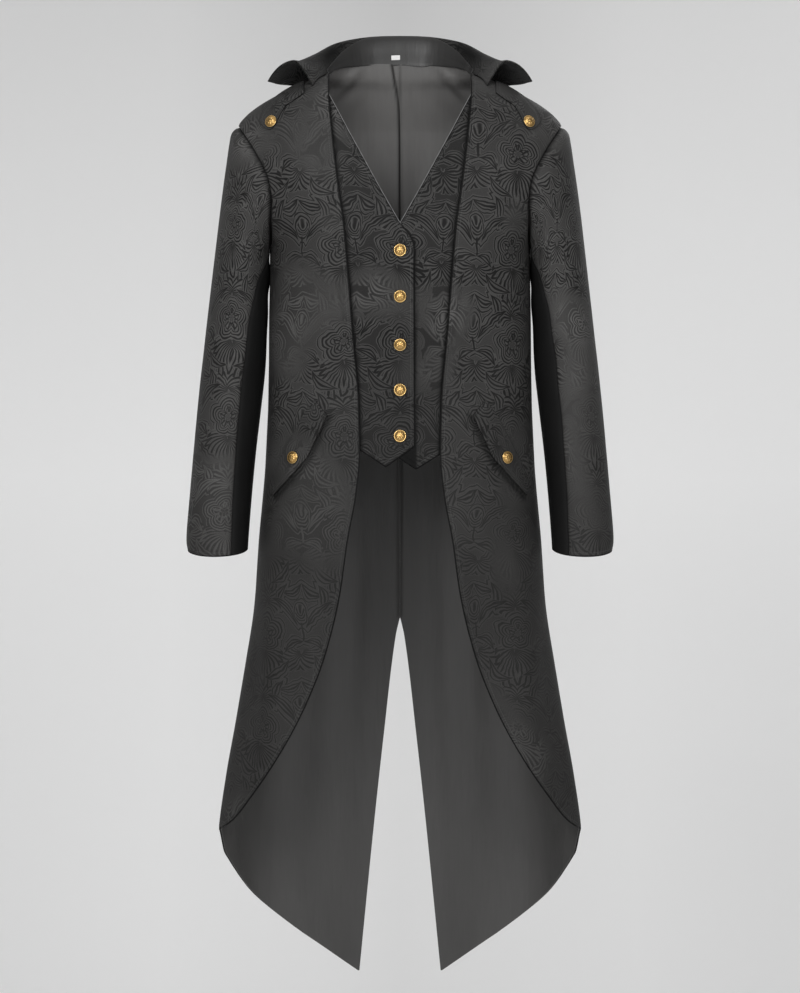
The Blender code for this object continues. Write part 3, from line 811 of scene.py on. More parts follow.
@dataclass
class Bench:
    """A material's nodes as they are laid out."""

    name: str
    material: bpy.types.Material = field(init=False)

    def __post_init__(self) -> None:
        """Start an empty material."""
        self.material = bpy.data.materials.new(self.name)
        self.material.use_nodes = True
        self.material.node_tree.nodes.clear()

    def node(
        self, kind: str, settings: dict[str, Any], sockets: dict[int | str, Any]
    ) -> bpy.types.Node:
        """Add a node.

        Args:
            kind: Type of the node.
            settings: What is set on the node before its sockets.
            sockets: Values or links of its sockets.

        Returns:
            The node.
        """
        made = self.material.node_tree.nodes.new(kind)
        for key, value in settings.items():
            setattr(made, key, value)
        for key, value in sockets.items():
            socket = made.inputs[key]
            if isinstance(value, Value):
                self.material.node_tree.links.new(value.socket, socket)
            elif isinstance(value, bpy.types.NodeSocket):
                self.material.node_tree.links.new(value, socket)
            else:
                socket.default_value = value
        return made

    def value(self, kind: str, settings: dict[str, Any], sockets: dict[int | str, Any]) -> Value:
        """Add a node and give its first output."""
        return Value(self, self.node(kind, settings, sockets).outputs[0])

    def number_first(self, operation: str, number: float, value: Value) -> Value:
        """Add a Math node that starts with a plain number."""
        return self.value("ShaderNodeMath", {"operation": operation}, {0: number, 1: value})

    def cloth_place(self, layer: str = "cloth") -> tuple[Value, Value]:
        """Give the place in the flat cloth.

        Args:
            layer: UV layer that holds it.

        Returns:
            The distances across and up, in millimetres.
        """
        place = self.node("ShaderNodeUVMap", {"uv_map": layer}, {}).outputs[0]
        apart = self.node("ShaderNodeSeparateXYZ", {}, {0: place})
        return Value(self, apart.outputs[0]) * 1000.0, Value(self, apart.outputs[1]) * 1000.0

    def noise(
        self, across: Number, up: Number, size: float, detail: float = 2.0, seed: float = 0.0
    ) -> Value:
        """Give noise over the flat cloth.

        Args:
            across: Place across the cloth in millimetres.
            up: Place up the cloth in millimetres.
            size: Size of the blotches in millimetres.
            detail: Finer layers of noise.
            seed: Which noise it is.

        Returns:
            The noise, from 0 to 1.
        """
        place = self.node(
            "ShaderNodeCombineXYZ", {}, {0: across * (1 / size), 1: up * (1 / size), 2: seed})
        return self.value(
            "ShaderNodeTexNoise", {}, {"Vector": place.outputs[0], "Scale": 1.0, "Detail": detail})

    def attribute(self, name: str) -> Value:
        """Give a number that is stored on the mesh."""
        found = self.node("ShaderNodeAttribute", {"attribute_name": name}, {})
        return Value(self, found.outputs["Fac"])

    def shade(self, colour: Any, tone: Value) -> bpy.types.NodeSocket:
        """Make a colour lighter or darker by a tone."""
        scale = {"operation": "SCALE"}
        return self.node("ShaderNodeVectorMath", scale, {0: colour, "Scale": tone}).outputs[0]

    def solid_noise(self, size: float, detail: float = 2.0) -> Value:
        """Give noise through the object's space.

        Args:
            size: Size of the blotches in metres.
            detail: Finer layers of noise.

        Returns:
            The noise, from 0 to 1.
        """
        place = self.node("ShaderNodeTexCoord", {}, {}).outputs["Object"]
        return self.value(
            "ShaderNodeTexNoise", {}, {"Vector": place, "Scale": 1.0 / size, "Detail": detail})

    def height(self) -> Value:
        """Give the height of a place in metres."""
        place = self.node("ShaderNodeTexCoord", {}, {}).outputs["Object"]
        return Value(self, self.node("ShaderNodeSeparateXYZ", {}, {0: place}).outputs[2])

    def height_share(self, start: float, end: float) -> Value:
        """Give 0 at one height in metres and 1 at another."""
        return ((self.height() - start) * (1 / (end - start))).clamped()

    def blend(self, share: Number, first: Any, second: Any) -> bpy.types.NodeSocket:
        """Blend two colours.

        Args:
            share: Share of the second colour.
            first: First colour or a link to it.
            second: Second colour or a link to it.

        Returns:
            A link to the blend.
        """
        mixed = self.node(
            "ShaderNodeMix", {"data_type": "RGBA"}, {0: share, 6: first, 7: second})
        return mixed.outputs[2]

    def close(
        self, colour: Any, roughness: Any, height: Value | None = None, front_only: bool = False,
        **fixed: float,
    ) -> bpy.types.Material:
        """End the material in its shader.

        Args:
            colour: Base colour or a link to it.
            roughness: Roughness or a link to it.
            height: Height of the surface in millimetres, or nothing.
            front_only: Whether the surface is clear when seen from behind.
            fixed: Other sockets of the shader, with spaces as underscores.

        Returns:
            The material.
        """
        sockets: dict[int | str, Any] = {"Base Color": colour, "Roughness": roughness}
        sockets.update({key.replace("_", " "): value for key, value in fixed.items()})
        if height is not None:
            bump = self.node(
                "ShaderNodeBump", {}, {"Height": height, "Distance": MM, "Strength": 1.0})
            sockets["Normal"] = bump.outputs[0]
        shader = self.node("ShaderNodeBsdfPrincipled", {}, sockets).outputs[0]
        if front_only:
            behind = self.node("ShaderNodeNewGeometry", {}, {}).outputs["Backfacing"]
            clear = self.node("ShaderNodeBsdfTransparent", {}, {}).outputs[0]
            mixed = self.node("ShaderNodeMixShader", {}, {0: behind, 1: shader, 2: clear})
            shader = mixed.outputs[0]
        self.node("ShaderNodeOutputMaterial", {}, {0: shader})
        return self.material


# --------------------------------------------------------------------------
# Finishes


def grey(level: float, warmth: float = 0.0) -> tuple[float, float, float, float]:
    """Give a grey, a little warmer or cooler."""
    return level * (1 + warmth), level, level * (1 - warmth), 1.0


@dataclass(frozen=True)
class FigureWeave:
    """The woven figure, mirrored about upright lines and repeated up the cloth.

    Each motif gives the distance from the rim of its nearest stroke in
    millimetres, less than 0 on the stroke.
    """

    half_width: float = 60.0
    repeat: float = 130.0
    wander: float = 8.0
    tremble: float = 1.6
    shift: float = 0.0

    def local(
        self, across: Value, up: Value, centre: tuple[float, float], lean: float
    ) -> tuple[Value, Value]:
        """Give places seen from a motif's own centre and turned by its lean.

        Args:
            across: Place across the cloth in millimetres.
            up: Place up the cloth in millimetres.
            centre: Centre of the motif.
            lean: Its turn in degrees.

        Returns:
            The places along and beside the motif.
        """
        x = across - centre[0]
        y = (up - centre[1]).wrapped(self.repeat / 2)
        if lean == 0.0:
            return x, y
        c, s = math.cos(math.radians(lean)), math.sin(math.radians(lean))
        return x * c + y * s, y * c - x * s

    def polar(self, x: Value, y: Value) -> tuple[Value, Value]:
        """Give the distance and the direction from a motif's centre."""
        return (x * x + y * y).math("SQRT"), y.math("ARCTAN2", x)

    def flower(self, across: Value, up: Value) -> tuple[Value, Value]:
        """Draw a scalloped flower head with rings of contours and a heart.

        Args:
            across: Place across the half repeat.
            up: Place up the cloth.

        Returns:
            The distance from its strokes, and from its whole ground.
        """
        x, y = self.local(across, up, (0.0, 0.0), 0.0)
        far, way = self.polar(x, y * 1.1)
        scallop = abs((way * 2.5 + 0.8).sine())
        rim = far - scallop * 7.0 - 20.5
        contours = abs(rim.wrapped(2.3)) - 0.62 - (rim + 9.0) * 0.03
        contours = contours.most(rim - 1.4).most(-14.5 - rim)
        spokes = abs((way * 6.0 + 0.8).sine()) * far * 0.16 - 0.6
        spokes = spokes.most(rim + 11.5).most(6.5 - far)
        heart = abs(far - abs((way * 1.5 + 0.78).sine()) * 7.0) - 0.7
        return contours.least(spokes).least(heart), rim - 3.2

    def fan(
        self, across: Value, up: Value, centre: tuple[float, float], lean: float, size: float,
        pitch: float = 0.21,
    ) -> Value:
        """Draw a fan of curling feather strokes with swelling ends.

        Args:
            across: Place across the cloth in millimetres.
            up: Place up the cloth in millimetres.
            centre: Foot of the fan.
            lean: Direction it opens in, in degrees.
            size: Length of its strokes.
            pitch: Angle between strokes in radians.

        Returns:
            The distance from its strokes.
        """
        x, y = self.local(across, up, centre, lean)
        far, way = self.polar(x, y)
        curled = way + far * (0.75 / size)
        apart = abs((curled * (1 / pitch)).fraction() - 0.5) * pitch * far
        end = far - size + abs(curled) * (0.34 * size)
        strokes = apart - far * (pitch * 0.15) - 0.1
        return strokes.most(end).most((abs(curled) - 1.12) * 20.0).most(5.0 - far)

    def leaf(
        self, across: Value, up: Value, start: tuple[float, float], lean: float,
        length: float, width: float, bend: float,
    ) -> tuple[Value, Value]:
        """Draw a bent leaf with a rim, an inner contour and a filled middle.

        Args:
            across: Place across the half repeat.
            up: Place up the cloth.
            start: Foot of the leaf.
            lean: Direction it grows in, in degrees.
            length: Its length.
            width: Its greatest half width.
            bend: How far its middle is bent aside.

        Returns:
            The distance from its strokes, and from its whole ground.
        """
        x, y = self.local(across, up, start, lean)
        swell = (x * (1 / length)).clamped() * math.pi
        swell = swell.sine()
        off = abs(y - swell * bend)
        body = off - swell * width
        strokes = (abs(body + 0.8) - 0.65).least(off - swell * (width * 0.2))
        ends = abs(x - length / 2) - length / 2
        return strokes.most(ends), body.most(ends) - 1.5

    def bud(self, across: Value, up: Value) -> tuple[Value, Value]:
        """Draw a veined bud on the outer mirror line.

        Args:
            across: Place across the cloth in millimetres.
            up: Place up the cloth in millimetres.

        Returns:
            The distance from its strokes, and from its whole ground.
        """
        x, y = self.local(across, up, (self.half_width, 27.0), 0.0)
        oval = ((x * x) * 2.6 + y * y).math("SQRT")
        veins = abs((oval * 0.5 - y * 0.45).wrapped(1.7)) - 0.55
        rings = (abs(oval - 16.0) - 0.8).least(veins.most(oval - 12.8))
        return rings.least(abs(x).most(abs(y + 25.0) - 10.0) - 0.9), oval - 18.5

    def draw(self, bench: Bench, across: Value, up: Value) -> Value:
        """Draw the whole figure.

        Args:
            bench: The material's nodes.
            across: Place across the cloth in millimetres.
            up: Place up the cloth in millimetres.

        Returns:
            The distance from the rim of the nearest stroke.
        """
        stray = bench.noise(across, up, 46.0, 0.0) - 0.5
        drift = bench.noise(across, up, 46.0, 0.0, 7.0) - 0.5
        shake = (bench.noise(across, up, 9.0, 0.0, 3.0) - 0.5) * (2 * self.tremble)
        up = up + drift * (2 * self.wander) + shake
        across = across + stray * (2 * self.wander) - shake + self.shift
        across = abs(across.wrapped(self.half_width))
        strokes, covered = self.flower(across, up)
        leaves: list[tuple[Value, Value]] = [self.bud(across, up)]
        for start, lean, length, width, bend in (
                ((8.0, 44.0), -38.0, 58.0, 5.0, 8.0), ((6.0, -62.0), 38.0, 46.0, 6.4, -9.0),
                ((60.0, -10.0), 208.0, 32.0, 5.0, -6.0), ((26.0, 28.0), 74.0, 40.0, 6.0, 7.0),
                ((60.0, 66.0), 200.0, 34.0, 5.5, 7.0)):
            leaves.append(self.leaf(across, up, start, lean, length, width, bend))
        for drawn, ground in leaves:
            strokes = strokes.least(drawn.most(-1.0 * covered))
            covered = covered.least(ground)
        feathers = self.fan(across, up, (-4.0, -27.0), -28.0, 52.0)
        feathers = feathers.least(self.fan(across, up, (62.0, -24.0), 238.0, 40.0, 0.25))
        feathers = feathers.least(self.fan(across, up, (-3.0, 34.0), 62.0, 36.0, 0.25))
        strokes = strokes.least(feathers.most(-1.0 * covered))
        echo = abs(covered - 2.4) - 0.42
        return strokes.least(echo.most(3.0 - feathers))


@dataclass(frozen=True)
class Brocade:
    """Black figured brocade."""

    name: str
    ground: float = 0.036
    stroke: float = 0.0045
    thread: float = 0.095
    depth: float = 0.9
    # width in millimetres of the painted shadow along finished edges
    edge: float = 1.7
    # how much darker the painted shade makes the lower cloth
    dusk: float = 0.22
    faced_above: float = 0.0
    # colour of the facing line, lighter than the lining as a painted highlight
    facing: float = 0.19
    twill_pitch: float = 2.5
    stitch_inset: float = 5.5
    stitch_pitch: float = 3.2
    # strength of the painted shade stored on the mesh
    press_tone: float = 0.93
    figure: FigureWeave = FigureWeave()

    def dress(self) -> bpy.types.Material:
        """Make the material.

        Returns:
            The material.
        """
        bench = Bench(self.name)
        across, up = bench.cloth_place()
        rim = self.figure.draw(bench, across, up)
        strokes = rim.within(0.35, 1.0)
        # painted highlight: a light fringe beside each stroke stands in for light catching the
        # raised figure
        emboss_highlight = abs(rim - 0.95).within(0.5, 0.9)
        worn = bench.noise(across, up, 16.0, 1.0, 11.0).math("MULTIPLY_ADD", 2.2, -0.35, clamp=True)
        strokes = strokes * (worn * 0.32 + 0.68)
        emboss_highlight = emboss_highlight * (1.3 - worn * 0.5)
        pitch = 2 * math.pi / self.twill_pitch
        twill = ((across + up) * pitch).sine() * ((across - up) * pitch).sine()
        grain = bench.noise(across, up, 1.3, 2.0)
        cloudy = bench.solid_noise(0.14, 2.0)
        # painted sheen: in blotches the strokes turn light and their fringes dark, standing in for
        # the damask's sheen turning with the light
        lit = ((bench.solid_noise(0.20, 1.0) - 0.53) * 11.0).math("ADD", 0.30, clamp=True)
        # painted shade: lower down, the cloth darkens and its strokes and fringes fade
        low = bench.height_share(-0.36, -0.66)
        # painted shade stored on the mesh: shadows at seams, under flaps, beside laps and in folds
        pressed = bench.attribute("pressed")
        plain = 1.0 - strokes
        tone = (cloudy - 0.5) * 0.6 + 1.0 + twill * 0.30 * plain + (grain - 0.5) * 0.9
        deep = bench.blend(lit, grey(self.stroke, 0.02), grey(self.thread, 0.02))
        light = bench.blend(lit, grey(self.thread, 0.02), grey(self.stroke * 1.9, 0.02))
        base = bench.blend(emboss_highlight * (0.55 - low * 0.3), grey(self.ground, 0.02), light)
        base = bench.blend(strokes * (1.0 - low * 0.45) * self.depth, base, deep)
        height = twill * 0.06 * plain + (grain - 0.5) * 0.12
        along, off = bench.cloth_place("trim")
        beside = abs(off - self.stitch_inset)
        thread = beside.within(0.45, 0.5) * abs(
            (along * (1 / self.stitch_pitch)).fraction() - 0.5).within(0.36, 0.1)
        pucker = beside.within(1.6, 2.4)
        height = height + thread * 0.22 - pucker * 0.30
        base = bench.blend(thread * 0.4, base, grey(self.thread))
        # painted shade: darker along finished edges and where the mesh holds painted shade
        tone = tone * (1.0 - off.within(self.edge, 1.0) * 0.9) * (1.0 - pressed * self.press_tone)
        tone = tone * (1.0 - low * self.dusk)
        # a light line of facing along the upper edges: partly the lining facing's colour, partly a
        # painted highlight
        if self.faced_above < 0:
            shown = ((bench.height() - self.faced_above) * 300.0).clamped()
            shown = off.within(1.1, 0.7) * shown
            base = bench.blend(shown, base, grey(self.facing))
            tone = tone.most(shown * 0.95)
        roughness = 0.66 - strokes * 0.14 + (grain - 0.5) * 0.2
        return bench.close(bench.shade(base, tone), roughness, height, Specular_IOR_Level=0.12)


@dataclass(frozen=True)
class PlainCloth:
    """Plain black cloth with a fine twill."""

    name: str
    base: float = 0.0075

    def dress(self) -> bpy.types.Material:
        """Make the material.

        Returns:
            The material.
        """
        bench = Bench(self.name)
        across, up = bench.cloth_place()
        twill = ((across + up * 0.8) * (2 * math.pi / 1.9)).sine()
        grain = bench.noise(across, up, 1.4, 3.0)
        cloudy = bench.solid_noise(0.09, 3.0)
        tone = (cloudy - 0.5) * 0.7 + 1.0 + twill * 0.10 + (grain - 0.5) * 0.5
        colour = bench.shade(grey(self.base)[:3], tone)
        height = twill * 0.05 + (grain - 0.5) * 0.12
        return bench.close(colour, 0.72 + (grain - 0.5) * 0.2, height, Specular_IOR_Level=0.12)


@dataclass(frozen=True)
class SatinLining:
    """Dark grey satin lining."""

    name: str
    base: float = 0.085
    # how much darker the painted shade makes the lining low down
    fall: float = 0.94

    def dress(self) -> bpy.types.Material:
        """Make the material.

        Returns:
            The material.
        """
        bench = Bench(self.name)
        across, up = bench.cloth_place()
        # painted sheen: long upright streaks of lighter and darker satin
        sheen_streak = bench.noise(across, up * 0.12, 5.0, 3.0)
        soft = bench.noise(across, up * 0.35, 60.0, 2.0, 3.0)
        weave = bench.noise(across, up, 0.9, 1.0)
        tone = (sheen_streak - 0.5) * 0.18 + (soft - 0.5) * 0.35 + (weave - 0.5) * 0.12 + 1.0
        # painted shade: lighter high up at the neck and darker lower down, inside the tails
        tone = tone * (1.50 - bench.height_share(-0.28, -0.52) * self.fall)
        # painted shade from the mesh, such as the shadow along the pleat's fold
        pressed = bench.attribute("pressed")
        tone = tone * (1.0 - pressed * 0.85)
        colour = bench.shade(grey(self.base, 0.022)[:3], tone)
        height = (soft - 0.5) * 2.4 + (sheen_streak - 0.5) * 0.25 + (weave - 0.5) * 0.04
        return bench.close(colour, 0.42 + (sheen_streak - 0.5) * 0.2, height, Specular_IOR_Level=0.42)


@dataclass(frozen=True)
class PressedBrass:
    """Pressed brass, dull in its hollows and worn bright on its high places."""

    name: str

    def dress(self) -> bpy.types.Material:
        """Make the material.

        Returns:
            The material.
        """
        bench = Bench(self.name)
        patina = bench.solid_noise(0.006, 3.0)
        fine = bench.solid_noise(0.0012, 2.0)
        high = bench.attribute("raised")
        colour = bench.blend(high, (0.30, 0.16, 0.045, 1.0), (0.86, 0.60, 0.25, 1.0))
        colour = bench.blend((patina - 0.45) * 0.9, colour, (0.62, 0.38, 0.13, 1.0))
        height = (patina - 0.5) * 0.10 + (fine - 0.5) * 0.03
        return bench.close(colour, 0.40 - high * 0.16 + (patina - 0.5) * 0.15, height, Metallic=1.0)


@dataclass(frozen=True)
class WovenTape:
    """White woven label tape."""

    name: str

    def dress(self) -> bpy.types.Material:
        """Make the material.

        Returns:
            The material.
        """
        bench = Bench(self.name)
        across, up = bench.cloth_place()
        rib = (up * (2 * math.pi / 0.8)).sine()
        grain = bench.noise(across, up, 0.7, 2.0)
        tone = rib * 0.04 + (grain - 0.5) * 0.12 + 1.0
        colour = bench.shade(grey(0.80, 0.01)[:3], tone)
        return bench.close(colour, 0.6 + (grain - 0.5) * 0.1, rib * 0.05)


@dataclass(frozen=True)
class PaleGround:
    """Pale matte floor and backdrop, with painted shade blended into its colour."""

    name: str
    middle: float = 0.93
    # darker grey of the painted shade
    rim: float = 0.57

    def dress(self) -> bpy.types.Material:
        """Make the material.

        Returns:
            The material.
        """
        bench = Bench(self.name)
        place = bench.node("ShaderNodeTexCoord", {}, {}).outputs["Object"]
        apart = bench.node("ShaderNodeSeparateXYZ", {}, {0: place})
        x, z = Value(bench, apart.outputs[0]), Value(bench, apart.outputs[2])
        # painted shade: darker higher up the backdrop and along its upright middle
        share = ((z + 0.55).most(0.0) + (0.45 - abs(x)).most(0.0)) * 0.71
        grain = bench.solid_noise(0.02, 2.0)
        colour = bench.blend(share + (grain - 0.5) * 0.02, grey(self.middle), grey(self.rim))
        return bench.close(colour, 0.9, front_only=True, Specular_IOR_Level=0.1)


@dataclass
class Wardrobe:
    """Every finish of the coat, made once."""

    coat: bpy.types.Material = field(init=False)
    sleeve: bpy.types.Material = field(init=False)
    edged: bpy.types.Material = field(init=False)
    waistcoat: bpy.types.Material = field(init=False)
    plain: bpy.types.Material = field(init=False)
    lining: bpy.types.Material = field(init=False)
    stand: bpy.types.Material = field(init=False)
    brass: bpy.types.Material = field(init=False)
    tape: bpy.types.Material = field(init=False)

    def __post_init__(self) -> None:
        """Make the materials."""
        figure = FigureWeave(shift=-43.0)
        self.coat = Brocade("coat_brocade", figure=figure).dress()
        # painted light: a lighter copy of the coat brocade, for the sleeves that face the lamps
        # more
        self.sleeve = Brocade("sleeve_brocade_painted_lighter", ground=0.043, thread=0.112, figure=figure).dress()
        self.edged = Brocade("trim_brocade", ground=0.032, thread=0.085, edge=0.4).dress()
        self.waistcoat = Brocade(
            "waistcoat_brocade", ground=0.019, thread=0.10, depth=1.0, edge=2.0,
            faced_above=-0.222).dress()
        self.plain = PlainCloth("plain_black").dress()
        self.lining = SatinLining("grey_satin").dress()
        # painted shade: a much darker copy of the grey satin, inside the collar stand
        self.stand = SatinLining("stand_satin_painted_dark", base=0.0132).dress()
        self.brass = PressedBrass("pressed_brass").dress()
        self.tape = WovenTape("label_tape").dress()


# --------------------------------------------------------------------------
# Coat fronts, backs and the lining of the backs


@dataclass
class CoatBody:
    """The two fronts, the two backs with their tails, and the backs' lining."""

    form: BodyForm
    wardrobe: Wardrobe
    neck_point: float = -8.0
    front_corner: float = -1042.0
    corner_blunt: float = 3.0
    tail_tip: float = -1252.0
    split_top: float = -756.0
    thickness: float = 1.5
    lining_thickness: float = 1.2
    lining_gap: float = 0.6
    row_step: float = 3.0
    arm_rows: int = 44
    front_columns: int = 76
    back_columns: int = 34
    lining_columns: int = 52
    neck_rise: float = 21.0
    seam_depth: float = 1.2
    seam_width: float = 2.6
    near: tuple[float, ...] = (0.0, 1.3, 3.0, 5.5)
    front_edge: tuple[Edge, ...] = (
        Edge(-8, 97), Edge(-43, 96), Edge(-99, 91), Edge(-175, 82), Edge(-215, 76),
        Edge(-283, 70), Edge(-371, 63), Edge(-460, 55.5), Edge(-530, 54), Edge(-585, 59),
        Edge(-645, 70), Edge(-721, 81), Edge(-804, 102), Edge(-872, 129), Edge(-945, 167),
        Edge(-1004, 209), Edge(-1042, 245),
    )
    flap_free: tuple[tuple[float, float], ...] = FLAP_FREE
    split_edge: tuple[Edge, ...] = (
        Edge(-756, 0.2), Edge(-782, 6), Edge(-923, 23), Edge(-1042, 36), Edge(-1252, 57))
    hem_edge: tuple[Edge, ...] = (
        Edge(-1042, 245), Edge(-1074, 243), Edge(-1090, 238), Edge(-1105, 230), Edge(-1128, 212),
        Edge(-1148, 193), Edge(-1189, 147), Edge(-1220, 104), Edge(-1252, 59),
    )
    neck_edge: tuple[Edge, ...] = (Edge(-8, 100), Edge(1, 92), Edge(8, 74), Edge(13, 34))

    def _run(self, start: float, end: float, step: float) -> np.ndarray:
        """Give even levels after the start, down to the end."""
        return np.linspace(start, end, max(int(abs(end - start) / step), 1) + 1)[1:]

    def _upper(self) -> np.ndarray:
        """List the levels from the neck point down to the armpit.

        Returns:
            The levels.
        """
        form = self.form
        round_arm = np.pi * np.arange(1, self.arm_rows + 1) / self.arm_rows
        shoulder = self._run(self.neck_point, form.shoulder_tip, self.row_step)
        arm = form.arm_middle + form.arm_half * np.cos(round_arm)
        return np.concatenate([[self.neck_point], shoulder, arm])

    def _lay(
        self, levels: np.ndarray, start: np.ndarray, end: np.ndarray, facing: float, columns: int,
        seams: tuple[np.ndarray, np.ndarray], out: float, side: Side, extra: Push | None = None,
    ) -> Panel:
        """Lay cloth between two turns on each level.

        Args:
            levels: Levels of the rows.
            start: Turn at the start of each row.
            end: Turn at the end of each row.
            facing: -1 for the front and 1 for the back.
            columns: Columns between the crowded ones.
            seams: How far the start and the end of each row are seams, from 0 to 1.
            out: Distance of the face out from the form.
            side: Side of the coat.
            extra: Further push at levels and distances across, or nothing.

        Returns:
            The panel, on the viewer's right.
        """
        turns, arcs = self.form.arcs(levels, facing)
        order = np.argsort(turns)
        first = np.array([np.interp(a, turns[order], arc[order]) for a, arc in zip(start, arcs)])
        last = np.array([np.interp(a, turns[order], arc[order]) for a, arc in zip(end, arcs)])
        lengths = np.maximum(np.abs(last - first), 0.4)
        way = np.sign(last - first + 1e-9)[:, None]
        run = stations(lengths, columns, self.near)
        across = first[:, None] + way * run
        turn = np.array([np.interp(a, arc, turns) for a, arc in zip(across, arcs)])
        level = np.repeat(levels[:, None], turn.shape[1], axis=1)
        push = np.full(level.shape, float(out))
        # painted shade: the colour darkens along seams, where shadow gathers
        pressed = np.zeros(level.shape)
        for distance, seam in ((run, seams[0]), (lengths[:, None] - run, seams[1])):
            push -= self.seam_depth * seam[:, None] * np.exp(-(distance / self.seam_width) ** 2)
            pressed = np.maximum(pressed, seam[:, None] * np.exp(-(distance / 1.5) ** 2))
        if extra is not None:
            push += extra(level, across)
        points = self.form.point(level, turn, push, side)
        threads = np.stack([across, self.form.thread_place(level, turn)[..., 1]], axis=-1)
        return Panel(points, threads, pressed=pressed)

    def front(self, side: Side) -> Panel:
        """Cut and lay a coat front, from its edge to the side seam.

        Args:
            side: The side of the coat.

        Returns:
            The panel, on the viewer's right.
        """
        levels = np.concatenate([
            self._upper(),
            self._run(self.form.armpit, self.front_corner + self.corner_blunt, self.row_step)])
        start = self.form.turn_at(levels, edge_reach(self.front_edge, levels), -1.0)
        end = self.form.arm_turn(levels, -1.0)
        seams = (np.zeros(len(levels)), np.ones(len(levels)))
        panel = self._lay(levels, start, end, -1.0, self.front_columns, seams, 0.0, side)
        panel.measure_trim(panel.points[:, 0])
        # painted shade along the seam at the armhole and side, and a painted shadow below the
        # pocket flap's free edge
        panel.pressed = np.maximum(panel.pressed, self._flap_shade(panel.points))
        return panel

    def _flap_shade(self, points: np.ndarray) -> np.ndarray:
        """Work out the shade that a pocket flap keeps along its free edge.

        Args:
            points: Points of the coat front.

        Returns:
            The shade, from 0 to 1.
        """
        spot = points[..., [0, 2]]
        shade = np.zeros(spot.shape[:-1])
        free = np.array(self.flap_free)
        for start, end in zip(free, free[1:]):
            run = end - start
            t = np.clip(((spot - start) @ run) / (run @ run), 0, 1)
            off = spot - start - t[..., None] * run
            below = off @ (np.array([run[1], -run[0]]) / np.hypot(*run))
            far = np.linalg.norm(off, axis=-1)
            outside = 1 / (1 + np.exp(-(below - 0.8) / 0.9))
            shade = np.maximum(shade, outside * np.exp(-(far / 5.6) ** 2))
        return shade

    def back(self, side: Side, out: float, lining: bool) -> Panel:
        """Cut and lay a back, or its lining, from the side seam to the centre.

        Args:
            side: The side of the coat.
            out: Distance of the face out from the form.
            lining: Whether it is the lining.

        Returns:
            The panel, on the viewer's right.
        """
        tail = np.linspace(0, 1, 56)[1:] ** 1.25
        neck = self.neck_rise * np.cos(np.pi / 2 * np.arange(14) / 14)
        levels = np.concatenate([
            self.neck_point + neck, self._upper(),
            self._run(self.form.armpit, self.split_top, self.row_step),
            self._run(self.split_top, self.front_corner, self.row_step),
            self.front_corner + (self.tail_tip - self.front_corner) * tail])
        start = self.form.arm_turn(levels, 1.0)
        high, low = levels > self.neck_point + 0.01, levels < self.front_corner - 0.01
        start[high] = self.form.turn_at(levels[high], edge_reach(self.neck_edge, levels[high]), 1.0)
        start[low] = self.form.turn_at(levels[low], edge_reach(self.hem_edge, levels[low]), 1.0)
        split = levels < self.split_top
        reach = np.where(split, edge_reach(self.split_edge, levels), 0.0)
        end = self.form.turn_at(levels, reach, 1.0)
        seams = (np.where(high | low, 0.0, 1.0), np.where(split, 0.0, 1.0))
        extra = self._pleat(side) if lining else self._princess_seam
        level = levels[:, None]
        columns = self.lining_columns if lining else self.back_columns
        panel = self._lay(levels, start, end, 1.0, columns, seams, out, side, extra)
        if lining:
            # painted shade: fainter seam shade on the lining, and on the left a painted shadow
            # along the pleat's fold
            panel.pressed = panel.pressed * 0.3
            if side is Side.LEFT:
                off = (panel.threads[..., 0] - self._pleat_place(level)) / 2.0
                seen = np.clip((level + 480) / 60, 0, 1)
                panel.pressed = np.maximum(panel.pressed, np.exp(-off ** 2) * seen)
        panel.measure_trim(panel.points[low, 0], panel.points[split, -1][::-1])
        return panel

    def _princess_seam(self, level: np.ndarray, across: np.ndarray) -> np.ndarray:
        """Press in the seam that shapes a back from its armhole to its waist.

        Args:
            level: Heights.
            across: Distances from the centre back.

        Returns:
            The pushes, less than 0 towards the body.
        """
        place = smooth_read(
            [-1252, -760, -540, -430, -300, -170], [150, 112, 88, 78, 92, 118], level)
        off = (across - place) / 2.4
        seen = np.clip((-150 - level) / 25, 0, 1)
        return -1.1 * np.exp(-off ** 2) * seen

    def _pleat_place(self, level: np.ndarray) -> np.ndarray:
        """Give how far the pleat's fold lies from the centre at levels."""
        return smooth_read([-420, -120, -57, -31, -4, 13], [0.6, 0.9, 1.6, 3.6, 9.2, 12.0], level)

    def _pleat(self, side: Side) -> Push:
        """Give the ease pleat of the lining, which folds over beside the centre.

        Args:
            side: The side of the coat.

        Returns:
            The pleat's push at levels and distances across.
        """
        def push(level: np.ndarray, across: np.ndarray) -> np.ndarray:
            """Give the push at levels and distances across.

            Args:
                level: Heights.
                across: Distances from the centre back.

            Returns:
                The pushes, less than 0 towards the body.
            """
            fold = self._pleat_place(level)
            depth = smooth_read([-700, -480, -250, 13], [0.0, 1.4, 3.0, 3.6], level)
            if side is Side.RIGHT:
                return -depth * 0.25 * np.exp(-((across - 9.0) / 8.0) ** 2)
            step = 1 / (1 + np.exp(-(across - fold) / 0.45))
            return -depth * step * np.exp(-np.maximum(across - fold, 0) / 26.0)
        return push

    def build(self) -> None:
        """Make the pieces."""
        wear = self.wardrobe
        for side in Side:
            word, lean, inside = side.word, side.value * 0.3, -self.thickness - self.lining_gap
            sew(f"front_cloth_{word}", f"coat_front_{word}",
                self.front(side).mirrored(side), (lean, -1, 0), self.thickness,
                (wear.coat, wear.lining))
            sew(f"back_cloth_{word}", f"coat_back_{word}",
                self.back(side, 0.0, False).mirrored(side), (lean, 1, 0), self.thickness,
                (wear.coat, wear.plain))
            sew(f"back_satin_{word}", f"back_lining_{word}",
                self.back(side, inside, True).mirrored(side), (lean, 1, 0), self.lining_thickness,
                (wear.lining,))


# --------------------------------------------------------------------------
# Waistcoat front


